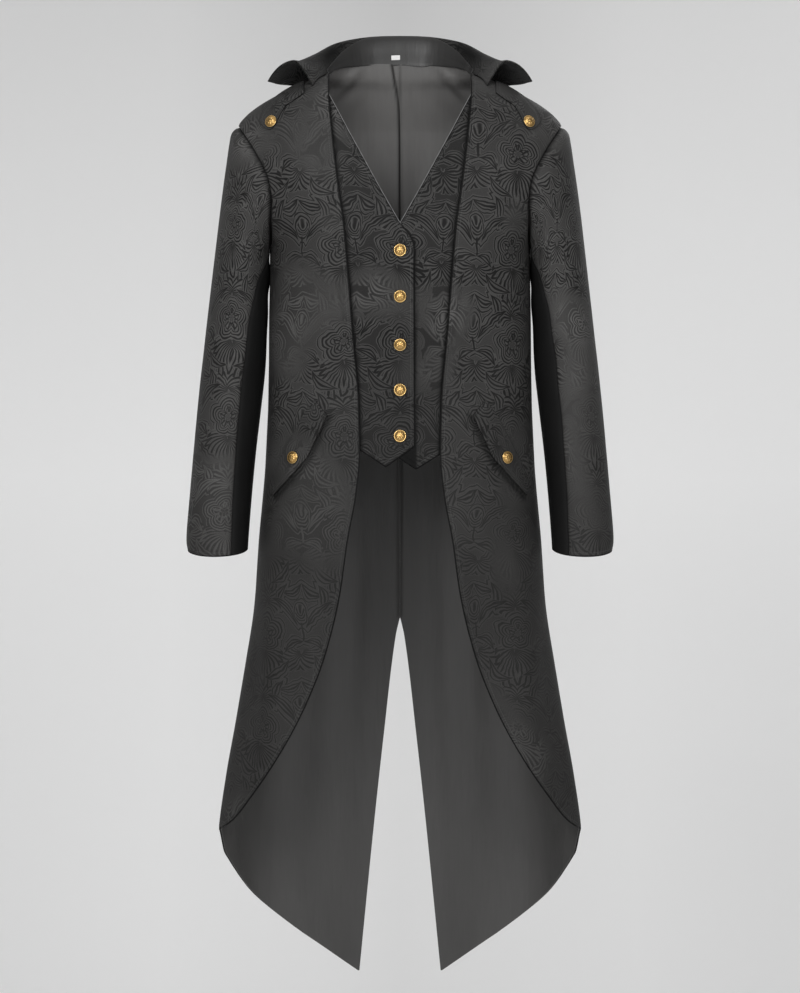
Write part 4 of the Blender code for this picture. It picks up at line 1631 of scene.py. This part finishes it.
@dataclass
class WaistcoatFront:
    """The lapped waistcoat front: the viewer's left side lies over the right."""

    form: BodyForm
    wardrobe: Wardrobe
    cover_edge: tuple[Edge, ...]
    thickness: float = 1.2
    depth: float = 2.7
    dip: float = 1.7
    top: float = -36.0
    foot: float = -519.0
    point_rise: float = 55.0
    rows: int = 118
    columns: int = 30
    neck: tuple[Edge, ...] = (Edge(-36, 98), Edge(-90, 70.5), Edge(-168, 28.5), Edge(-218, 0))
    lap_edge: tuple[Edge, ...] = (Edge(-235, -14), Edge(-247, -19.5), Edge(-519, -20.5))
    under_edge: tuple[Edge, ...] = (Edge(-235, -10), Edge(-260, -17), Edge(-519, -18))
    outer: tuple[Edge, ...] = (Edge(-36, 128), Edge(-175, 117), Edge(-371, 98), Edge(-519, 88))
    lap_foot: tuple[Edge, ...] = (Edge(-519, -20.5), Edge(-548, 19), Edge(-527, 51), Edge(-507, 88))
    under_foot: tuple[Edge, ...] = (Edge(-525, -18), Edge(-551, 22), Edge(-531, 54), Edge(-512, 88))

    def half(self, side: Side) -> Panel:
        """Cut and lay one half, as if on the viewer's right.

        Args:
            side: The side; the viewer's left one is the lap.

        Returns:
            The panel.
        """
        lap = side is Side.LEFT
        inner_edge = self.neck + (self.lap_edge if lap else self.under_edge)
        foot = self.lap_foot if lap else self.under_foot
        flat = np.linspace(self.top, self.foot, self.rows + 1)
        inner = straight_reach(inner_edge, flat)
        outer = straight_reach(self.outer, flat)
        share = np.linspace(0, 1, self.columns + 1)
        reach = inner[:, None] + (outer - inner)[:, None] * share[None]
        bend = np.clip((self.foot + self.point_rise - flat) / self.point_rise, 0, 1)[:, None]
        dropped = np.interp(reach, [e.reach for e in foot], [e.level for e in foot])
        level = flat[:, None] + bend * (dropped - self.foot)
        out = np.full(level.shape, -self.depth)
        if not lap:
            sunk = np.clip((48.0 - reach) / 22.0, 0, 1) * (flat < -168)[:, None]
            out -= sunk * self.dip
        turn = self.form.turn_at(level, reach, -1.0)
        points = self.form.point(level, turn, out, side)
        threads = self.form.thread_place(level, turn)
        # painted shadow: darker next to and under the coat's front edge, and on the under half
        # beside the lap's edge
        cover = edge_reach(self.cover_edge, level) - reach
        dark = np.exp(-(np.maximum(cover, 0) / 3.4) ** 2)
        if not lap:
            lap_reach = -straight_reach(self.lap_edge, level)
            beyond = np.maximum(reach - lap_reach, 0)
            below = level < self.lap_edge[0].level
            dark = np.maximum(dark, below * np.exp(-(beyond / 2.6) ** 2))
        panel = Panel(points, threads, pressed=dark)
        panel.measure_trim(points[:, 0], points[-1])
        return panel

    def build(self) -> None:
        """Make the pieces."""
        for side in Side:
            sew(f"waistcoat_{side.word}", f"vest_front_{side.word}",
                self.half(side).mirrored(side), (0, -1, 0), self.thickness,
                (self.wardrobe.waistcoat, self.wardrobe.lining))


# --------------------------------------------------------------------------
# Sleeves


SLEEVE_RINGS = (
    SleeveRing(232, -97, 180.8, -264, 75, 1, 0.62, 156, 140),
    SleeveRing(238.5, -137, 181.2, -280, 73, 2, 0.30, 148, 134),
    SleeveRing(245, -185, 181.5, -300, 70, 2, 0.10, 137, 128),
    SleeveRing(252, -243, 181.8, -328, 67, 2, 0.0, 126, 122),
    SleeveRing(260, -310, 182.2, -366, 63, 1, 0.0, 117, 118),
    SleeveRing(268, -380, 184.5, -415, 60, 0, 0.0, 112, 116),
    SleeveRing(275, -445, 190, -467, 56, -4, 0.0, 112, 115),
    SleeveRing(281, -512, 196.5, -525, 52, -9, 0.0, 114, 115),
    SleeveRing(286.5, -580, 202, -586, 47, -15, 0.0, 116, 115),
    SleeveRing(291, -641, 206, -641, 43, -21, 0.0, 119, 115),
    SleeveRing(289, -661, 207, -659, 42, -23, 0.0, 119, 115),
)


@dataclass
class Sleeves:
    """The two-piece sleeves: a brocade top half and a plain under half."""

    form: BodyForm
    wardrobe: Wardrobe
    rings: tuple[SleeveRing, ...] = SLEEVE_RINGS
    thickness: float = 1.5
    seam_gap: float = 0.3
    armpit_gap: float = 2.0
    front_seam: float = 157.5
    back_seam: float = 135.0
    cuff_drop: float = 9.0
    rows: int = 132
    top_columns: int = 52
    under_columns: int = 24

    def arm_edge(self, turn: np.ndarray, facing: float) -> tuple[np.ndarray, np.ndarray]:
        """Give the levels and the turns of the armhole's edge on one face."""
        level = self.form.arm_middle + self.form.arm_half * np.cos(np.radians(turn))
        return level, self.form.arm_turn(level, facing)

    def arm_point(self, turn: np.ndarray) -> np.ndarray:
        """Give points of the armhole's edge; 0 is the shoulder and 180 the armpit."""
        ahead, behind = (self.form.bare(*self.arm_edge(turn, facing)) for facing in (-1.0, 1.0))
        return np.where((np.sin(np.radians(turn)) >= 0)[..., None], ahead, behind)

    def arm_crease(self, turn: np.ndarray, side: Side) -> np.ndarray:
        """Work out how the creases of the body move the armhole's edge.

        Args:
            turn: Turns in degrees.
            side: The side of the coat.

        Returns:
            The moves, one a turn.
        """
        ahead, behind = (
            self.form.point(level, edge, 0.0, side) - self.form.bare(level, edge)
            for level, edge in (self.arm_edge(turn, facing) for facing in (-1.0, 1.0)))
        return np.where((np.sin(np.radians(turn)) >= 0)[..., None], ahead, behind)

    def control(self, row: int, turn: np.ndarray) -> np.ndarray:
        """Give the points that shape a sleeve at one of its rings.

        Args:
            row: Number of the ring, 0 at the armhole.
            turn: Turns in degrees.

        Returns:
            The points.
        """
        angle = np.radians(turn)
        if row == 0:
            inside = (1 - np.cos(angle)) / 2
            gap = self.seam_gap + (self.armpit_gap - self.seam_gap) * inside ** 2
            return self.arm_point(turn) + gap[..., None] * np.array([1.0, 0, 0])
        ring = self.rings[row - 1]
        outer = np.array([ring.outer_x, ring.middle, ring.outer_z])
        inner = np.array([ring.inner_x, ring.middle, ring.inner_z])
        point = (outer + inner) / 2 + (outer - inner) / 2 * np.cos(angle)[..., None]
        point[..., 1] -= ring.depth * np.sin(angle)
        ends = self.arm_point(np.array([180.0, 0.0]))
        straight = ends[0] + (ends[1] - ends[0]) * ((1 + np.cos(angle)) / 2)[..., None]
        point[..., 0] += ring.bow * (self.arm_point(turn)[..., 0] - straight[..., 0])
        if row == len(self.rings):
            point[..., 2] -= self.cuff_drop * np.maximum(np.sin(angle), 0)
        return point

    def surface(self, place: np.ndarray, turn: np.ndarray) -> np.ndarray:
        """Give the sleeve's outer face.

        Args:
            place: Places counted in rings, one a row.
            turn: Turns, one row a place.

        Returns:
            The points.
        """
        first, last = -180, 360
        whole = np.linspace(first, last, last - first + 1)
        rings = np.stack([self.control(row, whole) for row in range(len(self.rings) + 1)])
        rows = spline(rings, place)
        column = turn - first
        low = np.clip(column.astype(int), 0, last - first - 1)
        t = (column - low)[..., None]
        index = np.arange(len(place))[:, None]
        return rows[index, low] * (1 - t) + rows[index, low + 1] * t

    def creases(self, points: np.ndarray, turn: np.ndarray, side: Side) -> np.ndarray:
        """Work out the creases at the armpit and in the bend of the elbow.

        Args:
            points: Points of the sleeve.
            turn: Turns in degrees.
            side: The side of the coat.

        Returns:
            The pushes outwards.
        """
        z = points[..., 2]
        front = np.exp(-((np.mod(turn + 180, 360) - 180 - 95) / 52) ** 2)
        inner = np.exp(-((np.mod(turn, 360) - 180) / 75) ** 2)
        phase = 0.0 if side is Side.RIGHT else 1.4
        elbow = np.exp(-((z + 410) / 70) ** 2)
        armpit = np.exp(-((z + 300) / 45) ** 2)
        slant = z + 0.35 * (np.mod(turn, 360) - 120)
        total = -1.6 * front * elbow * np.cos((slant + 18 * phase) / 13)
        total += -1.4 * inner * armpit * np.cos((slant + 9 * phase) / 11)
        total += 3.4 * np.exp(-((z + 288) / 38) ** 2 - ((np.mod(turn, 360) - 180) / 48) ** 2)
        upper = np.exp(-((z + 200) / 90) ** 2)
        total += 1.1 * np.cos(np.radians(turn * 2 + 40 + 30 * phase)) * upper
        return total + 0.9 * np.cos(np.radians(3 * turn + 50)) * np.clip((-z - 430) / 200, 0, 1)

    def panel(self, side: Side, under: bool) -> Panel:
        """Cut and lay the top half or the under half of a sleeve.

        Args:
            side: The side of the coat.
            under: Whether it is the under half.

        Returns:
            The panel, on the viewer's right.
        """
        last = len(self.rings)
        place = np.concatenate([[0.0, 0.03, 0.08, 0.16], np.linspace(0.16, last, self.rows)[1:]])
        numbers = np.arange(last + 1)
        fronts = [self.front_seam] + [ring.front_seam for ring in self.rings]
        backs = [self.back_seam] + [ring.back_seam for ring in self.rings]
        front = smooth_read(numbers, fronts, place)
        back = smooth_read(numbers, backs, place)
        start, end = (front, 360 - back) if under else (-back, front)
        columns = self.under_columns if under else self.top_columns
        share = np.linspace(0, 1, columns + 1)
        crowd = np.concatenate([[0, 0.006, 0.014, 0.026], share[(share > 0.03) & (share < 0.97)],
                                [0.974, 0.986, 0.994, 1]])
        turn = start[:, None] + (end - start)[:, None] * crowd[None]
        points = self.surface(place, turn)
        around = self.surface(place, turn + 1) - self.surface(place, turn - 1)
        above = self.surface(np.maximum(place - 0.05, 0), turn)
        below = self.surface(np.minimum(place + 0.05, last), turn)
        outward = unit(np.cross(around, below - above))
        run = run_lengths(points, 1)
        edge = np.minimum(run, run[:, -1:] - run)
        down = run_lengths(points, 0)
        settle = np.clip(down / 30, 0, 1)
        push = -1.2 * np.exp(-(edge / 2.6) ** 2) * settle
        push -= 2.6 * np.exp(-(down / 3.0) ** 2)
        push += 1.3 * np.exp(-((down - 13) / 9) ** 2) * (1 - np.abs(turn - 8) / 260)
        push += self.creases(points, turn, side) * settle
        led = self.arm_crease(turn, side) * np.exp(-(down / 22) ** 2)[..., None]
        tuck = np.array([-2.2, 0, 0]) * np.exp(-(down / 3.0) ** 2)[..., None]
        points = points + outward * push[..., None] + led + tuck
        axis = unit(np.array([22.0, -8.0, -560.0]))
        drop = (points - np.array([228.0, 0, -90.0])) @ axis
        radius = (run[:, -1] / np.radians(end - start))[:, None]
        threads = np.stack([np.radians(turn) * radius, -drop], axis=-1)
        # painted shade along the sleeve's seams and at its armhole
        dark = np.maximum(np.exp(-(edge / 1.4) ** 2) * settle, np.exp(-(down / 3.4) ** 2))
        panel = Panel(points, threads, pressed=dark)
        panel.measure_trim(points[-1])
        return panel

    def build(self) -> None:
        """Make the pieces."""
        wear = self.wardrobe
        for side in Side:
            for under, name, face, slot in (
                    (False, "top_sleeve", wear.sleeve, "brocade"),
                    (True, "under_sleeve", wear.plain, "plain_cloth")):
                sew(f"{name}_cloth_{side.word}", f"{name}_{side.word}",
                    self.panel(side, under).mirrored(side),
                    (-side.value if under else side.value, 0, 0), self.thickness,
                    (face, wear.lining))


# --------------------------------------------------------------------------
# Collar


COLLAR_SECTIONS = (
    CollarSection((0, 80), (0, 87, 52), (0, 107, -18), 0.94),
    CollarSection((41, 75), (45, 83, 50), (64, 101, -20), 0.88),
    CollarSection((76, 53), (86, 61, 40), (118, 83, -22), 0.42),
    CollarSection((94.5, 24), (107, 34, 25), (149, 56, -19), 0.16),
    CollarSection((102, -4), (123, 6, 14), (167, 24, -20), 0.10),
    CollarSection((110, -28), (136, -14, 8), (176, -3, -20), 0.0),
    CollarSection((119, -48), (145, -30, 7), (180, -24, -21), 0.0),
)


@dataclass
class Collar:
    """The rolled collar, the satin inside its stand and the blank size label."""

    form: BodyForm
    body: CoatBody
    wardrobe: Wardrobe
    sections: tuple[CollarSection, ...] = COLLAR_SECTIONS
    thickness: float = 2.0
    lift: float = 1.2
    lining_gap: float = 0.4
    lining_thickness: float = 1.2
    lining_start: float = 0.0
    lined_sections: float = 3.7
    hem_inset: float = 1.8
    hem_drop: float = 3.5
    label_thickness: float = 0.6
    label_gap: float = 0.3
    label_ends: tuple[float, float] = (-0.29, 0.0)
    label_edges: tuple[float, float] = (0.06, 0.17)

    def _all_round(self, name: str) -> np.ndarray:
        """List a column of the sections from one front end round to the other.

        Args:
            name: Name of the column.

        Returns:
            The column, one row a section.
        """
        half = np.array([getattr(section, name) for section in self.sections], float)
        other = half[1:][::-1] * np.array([-1] + [1] * (half.shape[1] - 1))
        return np.concatenate([other, half])

    def middle(self, place: np.ndarray, across: np.ndarray) -> np.ndarray:
        """Give points of the collar's middle layer.

        Args:
            place: Places along the collar, 0 at the centre back.
            across: 0 at the neck seam, 1 on the crest and 2 at the outer edge.

        Returns:
            The points.
        """
        last = len(self.sections) - 1
        place, across = np.broadcast_arrays(np.asarray(place, float), np.asarray(across, float))
        flat = np.ravel(place)
        neck = spline(self._all_round("neck"), flat + last)
        crest = spline(self._all_round("crest"), flat + last)
        edge = spline(self._all_round("edge"), flat + last)
        reach = np.abs(neck[:, 0])
        level = self.form.shoulder_level(reach, neck[:, 1])
        seam = smooth_read(
            [e.reach for e in self.body.neck_edge], [e.level for e in self.body.neck_edge], reach)
        neck = np.column_stack([neck, np.minimum(level, seam) + self.lift])
        forward = np.minimum(np.abs(flat) / last, 1.0)
        flat_across = np.ravel(across)
        stand = (flat_across <= 1)[:, None]
        start, end = np.where(stand, neck, crest), np.where(stand, crest, edge)
        t = np.where(stand[:, 0], flat_across, flat_across - 1)[:, None]
        share = np.where(stand[:, 0], 0.3 + 0.3 * forward, 0.6)[:, None]
        rise = np.where(stand[:, 0], 0.9, 0.06)
        handle = start + (end - start) * share
        handle[:, 2] = start[:, 2] + (end[:, 2] - start[:, 2]) * rise
        point = start * (1 - t) ** 2 + handle * 2 * t * (1 - t) + end * t ** 2
        return point.reshape(*place.shape, 3)

    def outward(self, place: np.ndarray, across: np.ndarray) -> np.ndarray:
        """Give the directions away from the neck at the stand.

        Args:
            place: Places along the collar, 0 at the centre back.
            across: Places across it, from 0 at the neck seam to 2 at the outer edge.

        Returns:
            Directions of length 1.
        """
        along = self.middle(place + 0.05, across) - self.middle(place - 0.05, across)
        over = self.middle(place, np.minimum(across + 0.03, 2)) - self.middle(
            place, np.maximum(across - 0.03, 0))
        return unit(np.cross(over, along))

    def panel(self, place: np.ndarray, across: np.ndarray, out: float) -> Panel:
        """Lay cloth over the collar.

        Args:
            place: Places along the collar, 0 at the centre back.
            across: Places across it, from 0 at the neck seam to 2 at the outer edge.
            out: Distance out from its middle layer.

        Returns:
            The panel.
        """
        points = self.middle(place, across) + self.outward(place, across) * out
        along = run_lengths(self.middle(place, np.full_like(across, 1.0)), 1)
        centre = along[:, along.shape[1] // 2][:, None]
        threads = np.stack([along - centre, -run_lengths(points, 0)], axis=-1)
        return Panel(points, threads)

    def build(self) -> None:
        """Make the pieces."""
        wear = self.wardrobe
        last = len(self.sections) - 1
        place, across = np.meshgrid(
            np.linspace(-last, last, 12 * 12 + 1),
            np.concatenate([np.linspace(0, 1, 20), np.linspace(1, 2, 27)[1:]]))
        panel = self.panel(place, across, 0.0)
        # painted shade on the stand below the crest, towards each side
        panel.pressed = np.exp(
            -((across - 0.60) / 0.50) ** 2 - ((np.abs(place) - 2.8) / 1.5) ** 2)
        panel.measure_trim(panel.points[:, 0], panel.points[-1], panel.points[:, -1][::-1])
        sew("collar_cloth", "collar", panel, (0, 0.4, 1), self.thickness,
            (wear.edged,), Backing.MIDDLE)

        inside = -self.thickness / 2 - self.lining_gap
        cover = np.array([[section.lined] for section in self.sections])
        along = np.linspace(-self.lined_sections, self.lined_sections, 121)
        covered = np.maximum(spline(cover, np.abs(along))[:, 0], 0.05)
        share = np.linspace(0, 1, 16)[:, None]
        across = self.lining_start + (covered - self.lining_start)[None] * share
        place = np.broadcast_to(along, across.shape)
        panel = self.panel(place, across, inside)
        hem = np.clip(1 - share * 4, 0, 1)[..., None]
        panel.points = panel.points - hem * (
            self.outward(place, across) * self.hem_inset + np.array([0, 0, self.hem_drop]))
        sew("collar_satin", "collar_lining", panel, (0, 1, 0), self.lining_thickness,
            (wear.stand,))

        face = inside - self.lining_thickness - self.label_gap
        place, across = np.meshgrid(
            np.linspace(*self.label_ends, 9), np.linspace(*self.label_edges, 6))
        panel = self.panel(place, across, face)
        sew("blank_label", "size_label", panel, (0, 1, 0), self.label_thickness,
            (wear.tape,))


# --------------------------------------------------------------------------
# Pocket flaps and shoulder tabs


@dataclass
class Trim:
    """The pointed pocket flaps and the tabs on the shoulders."""

    form: BodyForm
    wardrobe: Wardrobe
    thickness: float = 1.6
    columns: int = 49
    flap_gap: float = 0.5
    flap_lift: float = 3.4
    tab_gap: float = 0.2
    flap_sewn: tuple[tuple[float, float], ...] = (
        (115, -456), (133, -480), (148, -509), (162, -538), (176, -567))
    flap_free: tuple[tuple[float, float], ...] = FLAP_FREE
    tab_rows: tuple[tuple[float, float, float], ...] = (
        (130, -40, 10), (143, -50, 12), (154, -58, 16), (161, -69, 21), (167, -82, 27),
        (174, -90, 36), (181, -89, 44), (187, -84, 51), (191, -78, 57))

    def flap(self, side: Side) -> Panel:
        """Lay a pocket flap on a coat front, from its sewn edge to its free edge.

        Args:
            side: The side of the coat.

        Returns:
            The panel, on the viewer's right.
        """
        count = len(self.flap_sewn) - 1
        along = np.linspace(0, count, self.columns)
        sewn, free = bent_line(self.flap_sewn, along), bent_line(self.flap_free, along)
        share = np.linspace(0, 1, 15)[:, None]
        spot = sewn[None] * (1 - share[..., None]) + free[None] * share[..., None]
        turn = self.form.turn_at(spot[..., 1], spot[..., 0], -1.0)
        ripple = 0.5 * np.sin(along / count * np.pi * 3 + 0.5)[None] * share
        out = self.flap_gap + self.thickness + self.flap_lift * share ** 1.5 + ripple
        points = self.form.point(spot[..., 1], turn, out, side)
        threads = np.stack([run_lengths(points, 1), -run_lengths(points, 0)], axis=-1)
        panel = Panel(points, threads)
        panel.measure_trim(points[:, 0], points[-1], points[:, -1][::-1])
        return panel

    def tab(self, side: Side) -> Panel:
        """Lay a shoulder tab over the front of the shoulder.

        Args:
            side: The side of the coat.

        Returns:
            The panel, on the viewer's right.
        """
        rows = np.array(self.tab_rows, float)
        along = np.linspace(0, len(rows) - 1, self.columns)
        reach, front, back = (spline(rows[:, [k]], along)[:, 0] for k in range(3))
        top = self.form.shoulder_level(reach, -back)
        share = np.linspace(0, 1, 61)[:, None]
        level = top + (front - top) * share ** 2
        turn = self.form.turn_at(level, np.broadcast_to(reach, level.shape), -1.0)
        bare = self.form.bare(level, turn)
        run = run_lengths(bare, 0)
        even = np.linspace(0, 1, 21)[:, None] * run[-1]
        level = np.stack(
            [np.interp(even[:, c], run[:, c], level[:, c]) for c in range(self.columns)], -1)
        turn = self.form.turn_at(level, np.broadcast_to(reach, level.shape), -1.0)
        points = self.form.point(level, turn, self.tab_gap + self.thickness, side)
        threads = np.stack([run_lengths(points, 1), -run_lengths(points, 0)], axis=-1)
        panel = Panel(points, threads)
        panel.measure_trim(points[0][::-1], points[:, 0], points[-1], points[:, -1][::-1])
        return panel

    def build(self) -> None:
        """Make the pieces."""
        for side in Side:
            for name, cut in (("pocket_flap", self.flap), ("shoulder_tab", self.tab)):
                sew(f"{name}_cloth_{side.word}", f"{name}_{side.word}",
                    cut(side).mirrored(side), (side.value * 0.3, -1, 0.3), self.thickness,
                    (self.wardrobe.edged, self.wardrobe.plain))


# --------------------------------------------------------------------------
# Buttons


@dataclass
class Buttons:
    """Pressed brass buttons with a turned rim and a plain rosette."""

    form: BodyForm
    wardrobe: Wardrobe
    radius: float = 8.4
    height: float = 5.2
    petals: int = 8
    steps: int = 64
    vest_levels: tuple[float, ...] = (-256, -318, -383, -443.5, -505.5)
    vest_depth: float = -2.7
    flap_spot: tuple[float, float] = (142.5, -534.5)
    flap_out: float = 3.6
    tab_spot: tuple[float, float] = (173.5, -80)
    tab_out: float = 2.2
    profile: tuple[tuple[float, float], ...] = (
        (0.0, 0.04), (0.55, 0.04), (0.80, 0.06), (0.94, 0.14), (0.995, 0.26), (1.0, 0.36),
        (0.965, 0.45), (0.90, 0.475), (0.855, 0.43), (0.82, 0.455), (0.76, 0.52), (0.70, 0.58),
        (0.62, 0.65), (0.54, 0.715), (0.46, 0.77), (0.38, 0.815), (0.30, 0.85), (0.22, 0.875),
        (0.14, 0.89), (0.07, 0.897), (0.0, 0.90))

    def make(
        self, name: str, node: str, seat: np.ndarray, outward: np.ndarray, spin: float
    ) -> None:
        """Make one button and stand it on the cloth.

        Args:
            name: Name of the piece.
            node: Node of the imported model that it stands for.
            seat: Middle of its back.
            outward: Direction that it faces.
            spin: How far its rosette is turned, in degrees.
        """
        shape = bmesh.new()
        verts = [shape.verts.new((r * self.radius, 0, h * self.height)) for r, h in self.profile]
        edges = [shape.edges.new(pair) for pair in zip(verts, verts[1:])]
        bmesh.ops.spin(
            shape, geom=verts + edges, cent=(0, 0, 0), axis=(0, 0, 1), dvec=(0, 0, 0),
            angle=2 * math.pi, steps=self.steps, use_merge=True)
        bmesh.ops.remove_doubles(shape, verts=shape.verts, dist=0.005)
        bmesh.ops.recalc_face_normals(shape, faces=shape.faces)
        raised = shape.verts.layers.float.new("raised")
        turn = Vector(outward).to_track_quat("Z", "Y")
        for vert in shape.verts:
            far = math.hypot(vert.co.x, vert.co.y) / self.radius
            way = math.atan2(vert.co.y, vert.co.x) + math.radians(spin)
            top = vert.co.z > 0.42 * self.height
            petal = abs(math.cos(way * self.petals / 2)) * math.exp(-((far - 0.50) / 0.17) ** 2)
            eye = math.exp(-(far / 0.17) ** 2)
            lift = (petal * 0.62 + eye * 0.45) if top and far < 0.84 else 0.0
            vert[raised] = min(1.0, lift + (0.9 if far > 0.88 else 0.12)) if top else 0.25
            vert.co.z += lift
        for vert in shape.verts:
            vert.co = (turn @ vert.co + Vector(seat)) * MM
        mesh = bpy.data.meshes.new(name)
        shape.to_mesh(mesh)
        shape.free()
        mesh.shade_smooth()
        mesh.materials.append(self.wardrobe.brass)
        piece = bpy.data.objects.new(name, mesh)
        bpy.context.collection.objects.link(piece)
        hand_over(piece, node)

    def build(self) -> None:
        """Make the pieces."""
        for number, level in enumerate(self.vest_levels, start=1):
            spot, turn = np.array([level]), np.array([-90.0])
            seat = self.form.point(spot, turn, self.vest_depth, Side.LEFT)[0]
            outward = self.form.outward(spot, turn)[0]
            self.make(
                f"waistcoat_button_{number}", f"vest_button_{number}", seat, outward, 37 * number)
        for name, (reach, level), out in (
                ("flap_button", self.flap_spot, self.flap_out),
                ("tab_button", self.tab_spot, self.tab_out)):
            spot = np.array([float(level)])
            turn = self.form.turn_at(spot, np.array([float(reach)]), -1.0)
            for side in Side:
                flip = np.array([side.value, 1, 1])
                seat = self.form.point(spot, turn, out, side)[0] * flip
                outward = self.form.outward(spot, turn)[0] * flip
                self.make(
                    f"brass_{name}_{side.word}", f"{name}_{side.word}", seat, outward,
                    15 * side.value)


# --------------------------------------------------------------------------
# Studio


class Lamp(NamedTuple):
    """Soft light: its name, place, aim, size in metres and power in watts."""

    name: str
    place: tuple[float, float, float]
    aim: tuple[float, float, float]
    size: tuple[float, float]
    power: float


@dataclass
class Studio:
    """Pale floor and backdrop, soft lights and the camera."""

    floor_level: float = -1.62
    wall_distance: float = 2.6
    half_width: float = 4.0
    wall_top: float = 2.6
    cove: float = 0.8
    pixel: float = 0.00137
    picture: tuple[int, int] = (800, 993)
    shoulder_pixel: float = 68.0
    distance: float = 6.0
    room_light: float = 0.255
    lamps: tuple[Lamp, ...] = (
        Lamp("key", (-1.5, -4.0, 1.1), (0, 0, -0.1), (2.0, 1.8), 98),
        Lamp("fill", (1.6, -3.9, 0.9), (0, 0, -0.15), (1.8, 1.8), 60),
        Lamp("top", (0.0, -0.8, 2.8), (0, 0, -0.4), (2.0, 1.4), 12),
        Lamp("wall", (0.0, 0.9, 2.4), (0, 2.6, -0.3), (3.6, 0.8), 17),
        Lamp("rear", (1.3, 2.3, 0.9), (0, 0, -0.2), (1.2, 1.2), 9.5),
    )

    def ground(self) -> None:
        """Make the floor and the backdrop as one swept sheet."""
        shape = bmesh.new()
        path = [(-7.5, self.floor_level), (self.wall_distance - self.cove, self.floor_level)]
        for step in range(1, 13):
            angle = math.pi / 2 * step / 12
            path.append((
                self.wall_distance - self.cove + self.cove * math.sin(angle),
                self.floor_level + self.cove * (1 - math.cos(angle))))
        path.append((self.wall_distance, self.wall_top))
        verts = [shape.verts.new((-self.half_width, y, z)) for y, z in path]
        edges = [shape.edges.new(pair) for pair in zip(verts, verts[1:])]
        swept = bmesh.ops.extrude_edge_only(shape, edges=edges)
        moved = [item for item in swept["geom"] if isinstance(item, bmesh.types.BMVert)]
        bmesh.ops.translate(shape, verts=moved, vec=(2 * self.half_width, 0, 0))
        shape.normal_update()
        shape.faces.ensure_lookup_table()
        if shape.faces[0].normal.z < 0:
            bmesh.ops.reverse_faces(shape, faces=shape.faces)
        mesh = bpy.data.meshes.new("backdrop")
        shape.to_mesh(mesh)
        shape.free()
        mesh.shade_smooth()
        mesh.materials.append(PaleGround("pale_ground").dress())
        backdrop = bpy.data.objects.new("backdrop", mesh)
        bpy.context.collection.objects.link(backdrop)

    def hang(self, lamp: Lamp) -> None:
        """Hang a soft light.

        Args:
            lamp: The light.
        """
        data = bpy.data.lights.new(lamp.name, "AREA")
        data.shape = "RECTANGLE"
        data.size, data.size_y = lamp.size
        data.energy = lamp.power
        hung = bpy.data.objects.new(lamp.name, data)
        hung.location = lamp.place
        way = Vector(lamp.aim) - Vector(lamp.place)
        hung.rotation_euler = way.to_track_quat("-Z", "Y").to_euler()
        bpy.context.collection.objects.link(hung)

    def camera(self) -> None:
        """Set up the camera, level and square on to the front."""
        data = bpy.data.cameras.new("view")
        data.sensor_fit = "HORIZONTAL"
        data.sensor_width = 36.0
        data.lens = 36.0 * self.distance / (self.picture[0] * self.pixel)
        data.clip_end = 50.0
        view = bpy.data.objects.new("view", data)
        height = (self.shoulder_pixel - self.picture[1] / 2) * self.pixel
        view.location = (0.0, -self.distance, height)
        view.rotation_euler = (math.pi / 2, 0.0, 0.0)
        bpy.context.collection.objects.link(view)
        bpy.context.scene.camera = view

    def build(self) -> None:
        """Set up the studio."""
        self.camera()
        self.ground()
        for lamp in self.lamps:
            self.hang(lamp)
        world = bpy.data.worlds.new("room")
        world.use_nodes = True
        sky = world.node_tree.nodes["Background"]
        sky.inputs[0].default_value = (1.0, 1.0, 1.0, 1.0)
        sky.inputs[1].default_value = self.room_light
        bpy.context.scene.world = world
        bpy.context.scene.view_settings.view_transform = "Standard"


def main() -> None:
    """Dress the coat and set up its studio."""
    logging.basicConfig(level=logging.INFO, format="%(name)s: %(message)s")
    Studio().build()
    form = BodyForm()
    wardrobe = Wardrobe()
    body = CoatBody(form, wardrobe)
    body.build()
    WaistcoatFront(form, wardrobe, body.front_edge).build()
    Sleeves(form, wardrobe).build()
    Collar(form, body, wardrobe).build()
    Trim(form, wardrobe).build()
    Buttons(form, wardrobe).build()


if __name__ == "__main__":
    main()
